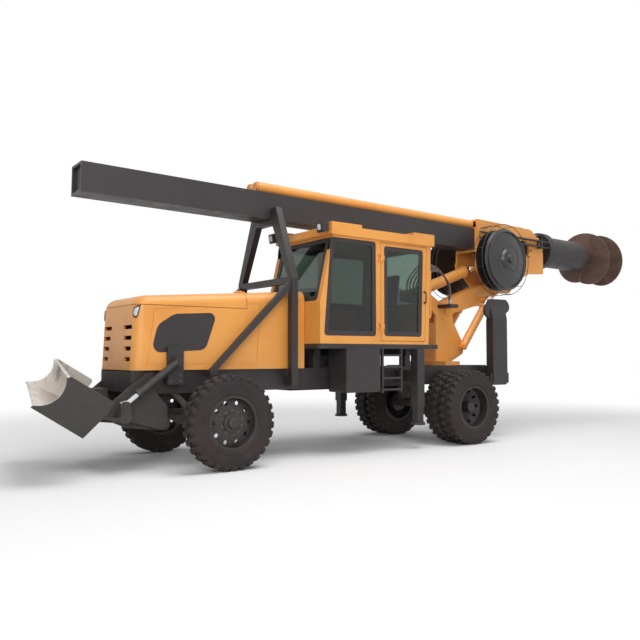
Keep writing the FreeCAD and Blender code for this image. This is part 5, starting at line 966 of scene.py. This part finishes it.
# %% End the hoses
HEXAGON = [(0, 0), (0.0175, 0), (0.0175, 0.015), (0, 0.015)]
SLEEVE = [(0, 0.014), (0.0150, 0.014), (0.0160, 0.018), (0.0160, 0.030), (0.0145, 0.033), (0.0160, 0.036),
          (0.0160, 0.048), (0.0145, 0.051), (0.0160, 0.054), (0.0160, 0.064), (0.0120, 0.068), (0, 0.068)]
OVERLAP = 0.001
work = bmesh.new()
turned(work, HEXAGON, Matrix(), steps=6)
turned(work, SLEEVE, Matrix(), steps=16)
fitting = parked("hose_fitting", shape_from(work, "hose_fitting"))
ends = [route[end] for _, route in HOSE_RUNS.values() for end in (0, -1)]
copies("hose_fittings", fitting, [(x, y, z - OVERLAP) for x, y, z in ends], (0, 0, 1) * len(ends),
       (1.0,) * len(ends), "chassis", "bare_steel", steel)
print("hose fittings:", PIECES["hose_fittings"], "faces")

# %% Rib the reels
REEL_X, REEL_Z, REEL_FLAT = -1.586, 2.770, 0.30
RIB_RADII = (0.250, 0.445)
RIB_SECTION = [(-0.010, -0.004), (-0.007, 0.006), (0, 0.009), (0.007, 0.006), (0.010, -0.004)]
work = bmesh.new()
for side in (1, -1):
    face, _ = seated("hose_reels", (REEL_X + REEL_FLAT, OUTSIDE * side, REEL_Z), (0, -side, 0))
    place = Matrix.Translation((REEL_X, face.y, REEL_Z)) @ Matrix.Rotation(math.radians(-90 * side), 4, "X")
    for radius in RIB_RADII:
        turned(work, [(radius + across, height) for across, height in RIB_SECTION], place, steps=96,
               closed=True)
piece("reel_ribs", shape_from(work, "reel_ribs", sharp=50.0), "mast", "black_paint", gloss_black)
print("reel ribs:", PIECES["reel_ribs"], "faces")

# %% Bolt the mast and the towers
REEL_BOLTS, CHEEK_BOLTS = 0.205, 0.190
CHEEK_X, CHEEK_Z = -2.536, 3.080
TOWER_BOLT_X, TOWER_BOLT_Z = (3.954, 4.074), (0.975, 1.035)
for side, label in ((1, "left"), (-1, "right")):
    inwards = (0, -side, 0)
    bolted(f"mast_bolts_{label}", "mast", [
        ("hose_reels", circle((REEL_X, OUTSIDE * side, REEL_Z), REEL_BOLTS, 8, 0.2), inwards, 0.011),
        ("mast_housing", circle((CHEEK_X, OUTSIDE * side, CHEEK_Z), CHEEK_BOLTS, 10, 0.1), inwards, 0.013),
    ])
    tower_spots = [(x, OUTSIDE * side, z) for x in TOWER_BOLT_X for z in TOWER_BOLT_Z]
    bolted(f"tower_bolts_{label}", "chassis", [("blade_towers", tower_spots, inwards, 0.012)])
print("small parts fitted")

# %% [markdown]
# ## Door handle
# A bow handle stands off the rear edge of the door on two round feet.  Its grip is a
# round line like the hoses, turned into a mesh so that grip and feet are one piece.

# %% Hang the handle
def bar(work, points, radius):
    """A round bar through a few control points, with closed ends."""
    work.from_mesh(mesh_of(shown("bar", round_line("bar", points, radius, rings=3, steps=6))))


door_low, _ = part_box("cab_door")
DOOR_FACE = 0.860
GRIP_X, GRIP_Z, GRIP_HALF = door_low.x + 0.046, 2.06, 0.075
GRIP_Y, GRIP_BEND, GRIP_RADIUS = DOOR_FACE + 0.034, 0.02, 0.008
foot_heights = (GRIP_Z - GRIP_HALF, GRIP_Z + GRIP_HALF)
work = bmesh.new()
bar(work, [(GRIP_X, DOOR_FACE - 0.002, foot_heights[0]), (GRIP_X, GRIP_Y, foot_heights[0]),
           (GRIP_X, GRIP_Y, foot_heights[0] + GRIP_BEND), (GRIP_X, GRIP_Y, foot_heights[1] - GRIP_BEND),
           (GRIP_X, GRIP_Y, foot_heights[1]), (GRIP_X, DOOR_FACE - 0.002, foot_heights[1])], GRIP_RADIUS)
for z in foot_heights:
    foot = Matrix.Translation((GRIP_X, DOOR_FACE - SUNK, z)) @ ALONG_Y
    turned(work, [(0, 0), (0.017, 0), (0.017, 0.004), (0.012, 0.008), (0, 0.008)], foot, steps=20)
piece("door_handle", shape_from(work, "door_handle"), "door", "black_paint", black)
print("handle at", round(GRIP_X, 3), GRIP_Z)

# %% [markdown]
# ## The seat
# The driver's seat is upholstered.  Each cushion starts as a soft box, a little too
# small; the cloth solver blows it up, and we cap how far any point may travel.  Sewn
# channels are pressed in afterwards, so that they stay crisp.  Sculpting would work too,
# but the solver gives the crown and the pulled-in sides by itself.  A pan, a pedestal
# and two slide rails carry the seat.

# %% Start with a soft block
EVENNESS, CORNER_SHARE = 0.006, 0.38


def soft_block(name, size):
    """A box with rounded edges, evenly meshed all over."""
    work = bmesh.new()
    bmesh.ops.create_cube(work, size=1.0)
    bmesh.ops.scale(work, vec=size, verts=work.verts)
    bmesh.ops.bevel(work, geom=work.edges[:], offset=min(size) * CORNER_SHARE, segments=4, profile=0.6,
                    affect="EDGES")
    block = bpy.data.meshes.new(name)
    work.to_mesh(block)
    work.free()
    holder = shown(name, block)
    remesh = holder.modifiers.new("even", "REMESH")
    remesh.mode, remesh.voxel_size = "VOXEL", EVENNESS
    return mesh_of(holder)


print("soft blocks have a mesh of", EVENNESS, "m")

# %% Blow it up
CUSHION_CAP, STUFFING_STEPS, PRESSURE = 0.012, 20, 4.0


def blow_up(name, block):
    """Lets the cloth solver fill a block, and moves each point no further than the cap."""
    holder = shown(name, block.copy())
    solver = holder.modifiers.new("stuffing", "CLOTH").settings
    solver.use_pressure = True
    solver.uniform_pressure_force = PRESSURE
    solver.effector_weights.gravity = 0.0
    for number in range(1, STUFFING_STEPS + 1):
        bpy.context.scene.frame_set(number)
    blown = mesh_of(holder)
    bpy.context.scene.frame_set(1)
    for before, after in zip(block.vertices, blown.vertices):
        move = after.co - before.co
        before.co += move * min(1.0, CUSHION_CAP / max(move.length, 1e-9))


print("a cushion moves out by", CUSHION_CAP, "m at most")

# %% Sew the channels
CHANNELS, CHANNEL_DEPTH, CHANNEL_WIDTH = (-0.14, -0.045, 0.045, 0.14), 0.007, 0.007
FACES_DRIVER = 0.5


def stuffed(name, size, place, face_axis):
    """A crowned cushion with sewn channels in the side that faces the driver."""
    block = soft_block(name, size)
    blow_up(name, block)
    holder = shown(name, block)
    holder.modifiers.new("smooth", "SUBSURF").levels = 1
    cushion = mesh_of(holder)
    facing = [vertex.normal[face_axis] for vertex in cushion.vertices]
    for vertex, towards_driver in zip(cushion.vertices, facing):
        near = min(abs(vertex.co.y - y) for y in CHANNELS)
        if towards_driver > FACES_DRIVER:
            vertex.co[face_axis] -= CHANNEL_DEPTH * math.exp(-((near / CHANNEL_WIDTH) ** 2))
    cushion.transform(place)
    cushion.shade_smooth()
    return cushion


print(len(CHANNELS), "channels, each", CHANNEL_DEPTH, "m deep")

# %% Pad the seat
SEAT_X, SEAT_Y, SEAT_LEAN = 0.815, middle_of("operator_seat").y, math.radians(-8.4)
# For each cushion its name, size and place, and the axis that faces the driver.
CUSHIONS = (
    ("seat_cushion", (0.455, 0.44, 0.080), Matrix.Translation((0.818, SEAT_Y, 1.838)), 2),
    ("seat_back", (0.080, 0.43, 0.500),
     Matrix.Translation((0.590, SEAT_Y, 2.160)) @ Matrix.Rotation(SEAT_LEAN, 4, "Y"), 0),
)
for name, size, place, face_axis in CUSHIONS:
    cushion = stuffed(name, size, place, face_axis)
    piece(name, cushion, "chassis", "seat_cover", cloth, "operator_seat")
print("cushions:", PIECES["seat_cushion"], "and", PIECES["seat_back"], "faces")

# %% Build what carries the seat
def plate(work, outline, thick, place, ease):
    """A flat outline given a thickness along the local Z axis, with its edges eased."""
    low, high = ([work.verts.new(place @ Vector((x, y, z))) for x, y in outline] for z in (0, thick))
    faces = [work.faces.new(low), work.faces.new(high)]
    faces += [work.faces.new((low[i - 1], low[i], high[i], high[i - 1])) for i in range(len(low))]
    bmesh.ops.recalc_face_normals(work, faces=faces)
    rims = list(faces[0].edges) + list(faces[1].edges)
    bmesh.ops.bevel(work, geom=rims, offset=ease, segments=2, profile=0.5, affect="EDGES", clamp_overlap=True)


# A pan under the cushion, a pedestal down to the floor and two slide rails.
# For each its outline, thickness, y, z and eased edge.
SEAT_PLATES = [(rounded(0.46, 0.45, 0.04), 0.020, 0, 1.772, 0.004),
               (rounded(0.30, 0.30, 0.03), 0.300, 0, 1.4555, 0.004),
               (rounded(0.42, 0.05, 0.01), 0.022, -0.16, 1.752, 0.003),
               (rounded(0.42, 0.05, 0.01), 0.022, 0.16, 1.752, 0.003)]
work = bmesh.new()
for outline, thick, y, z, ease in SEAT_PLATES:
    plate(work, outline, thick, Matrix.Translation((SEAT_X, SEAT_Y + y, z)), ease)
piece("seat_base", shape_from(work, "seat_base"), "chassis", "black_paint", black, "operator_seat")
print("seat base:", PIECES["seat_base"], "faces;", len(PIECES), "pieces in all")
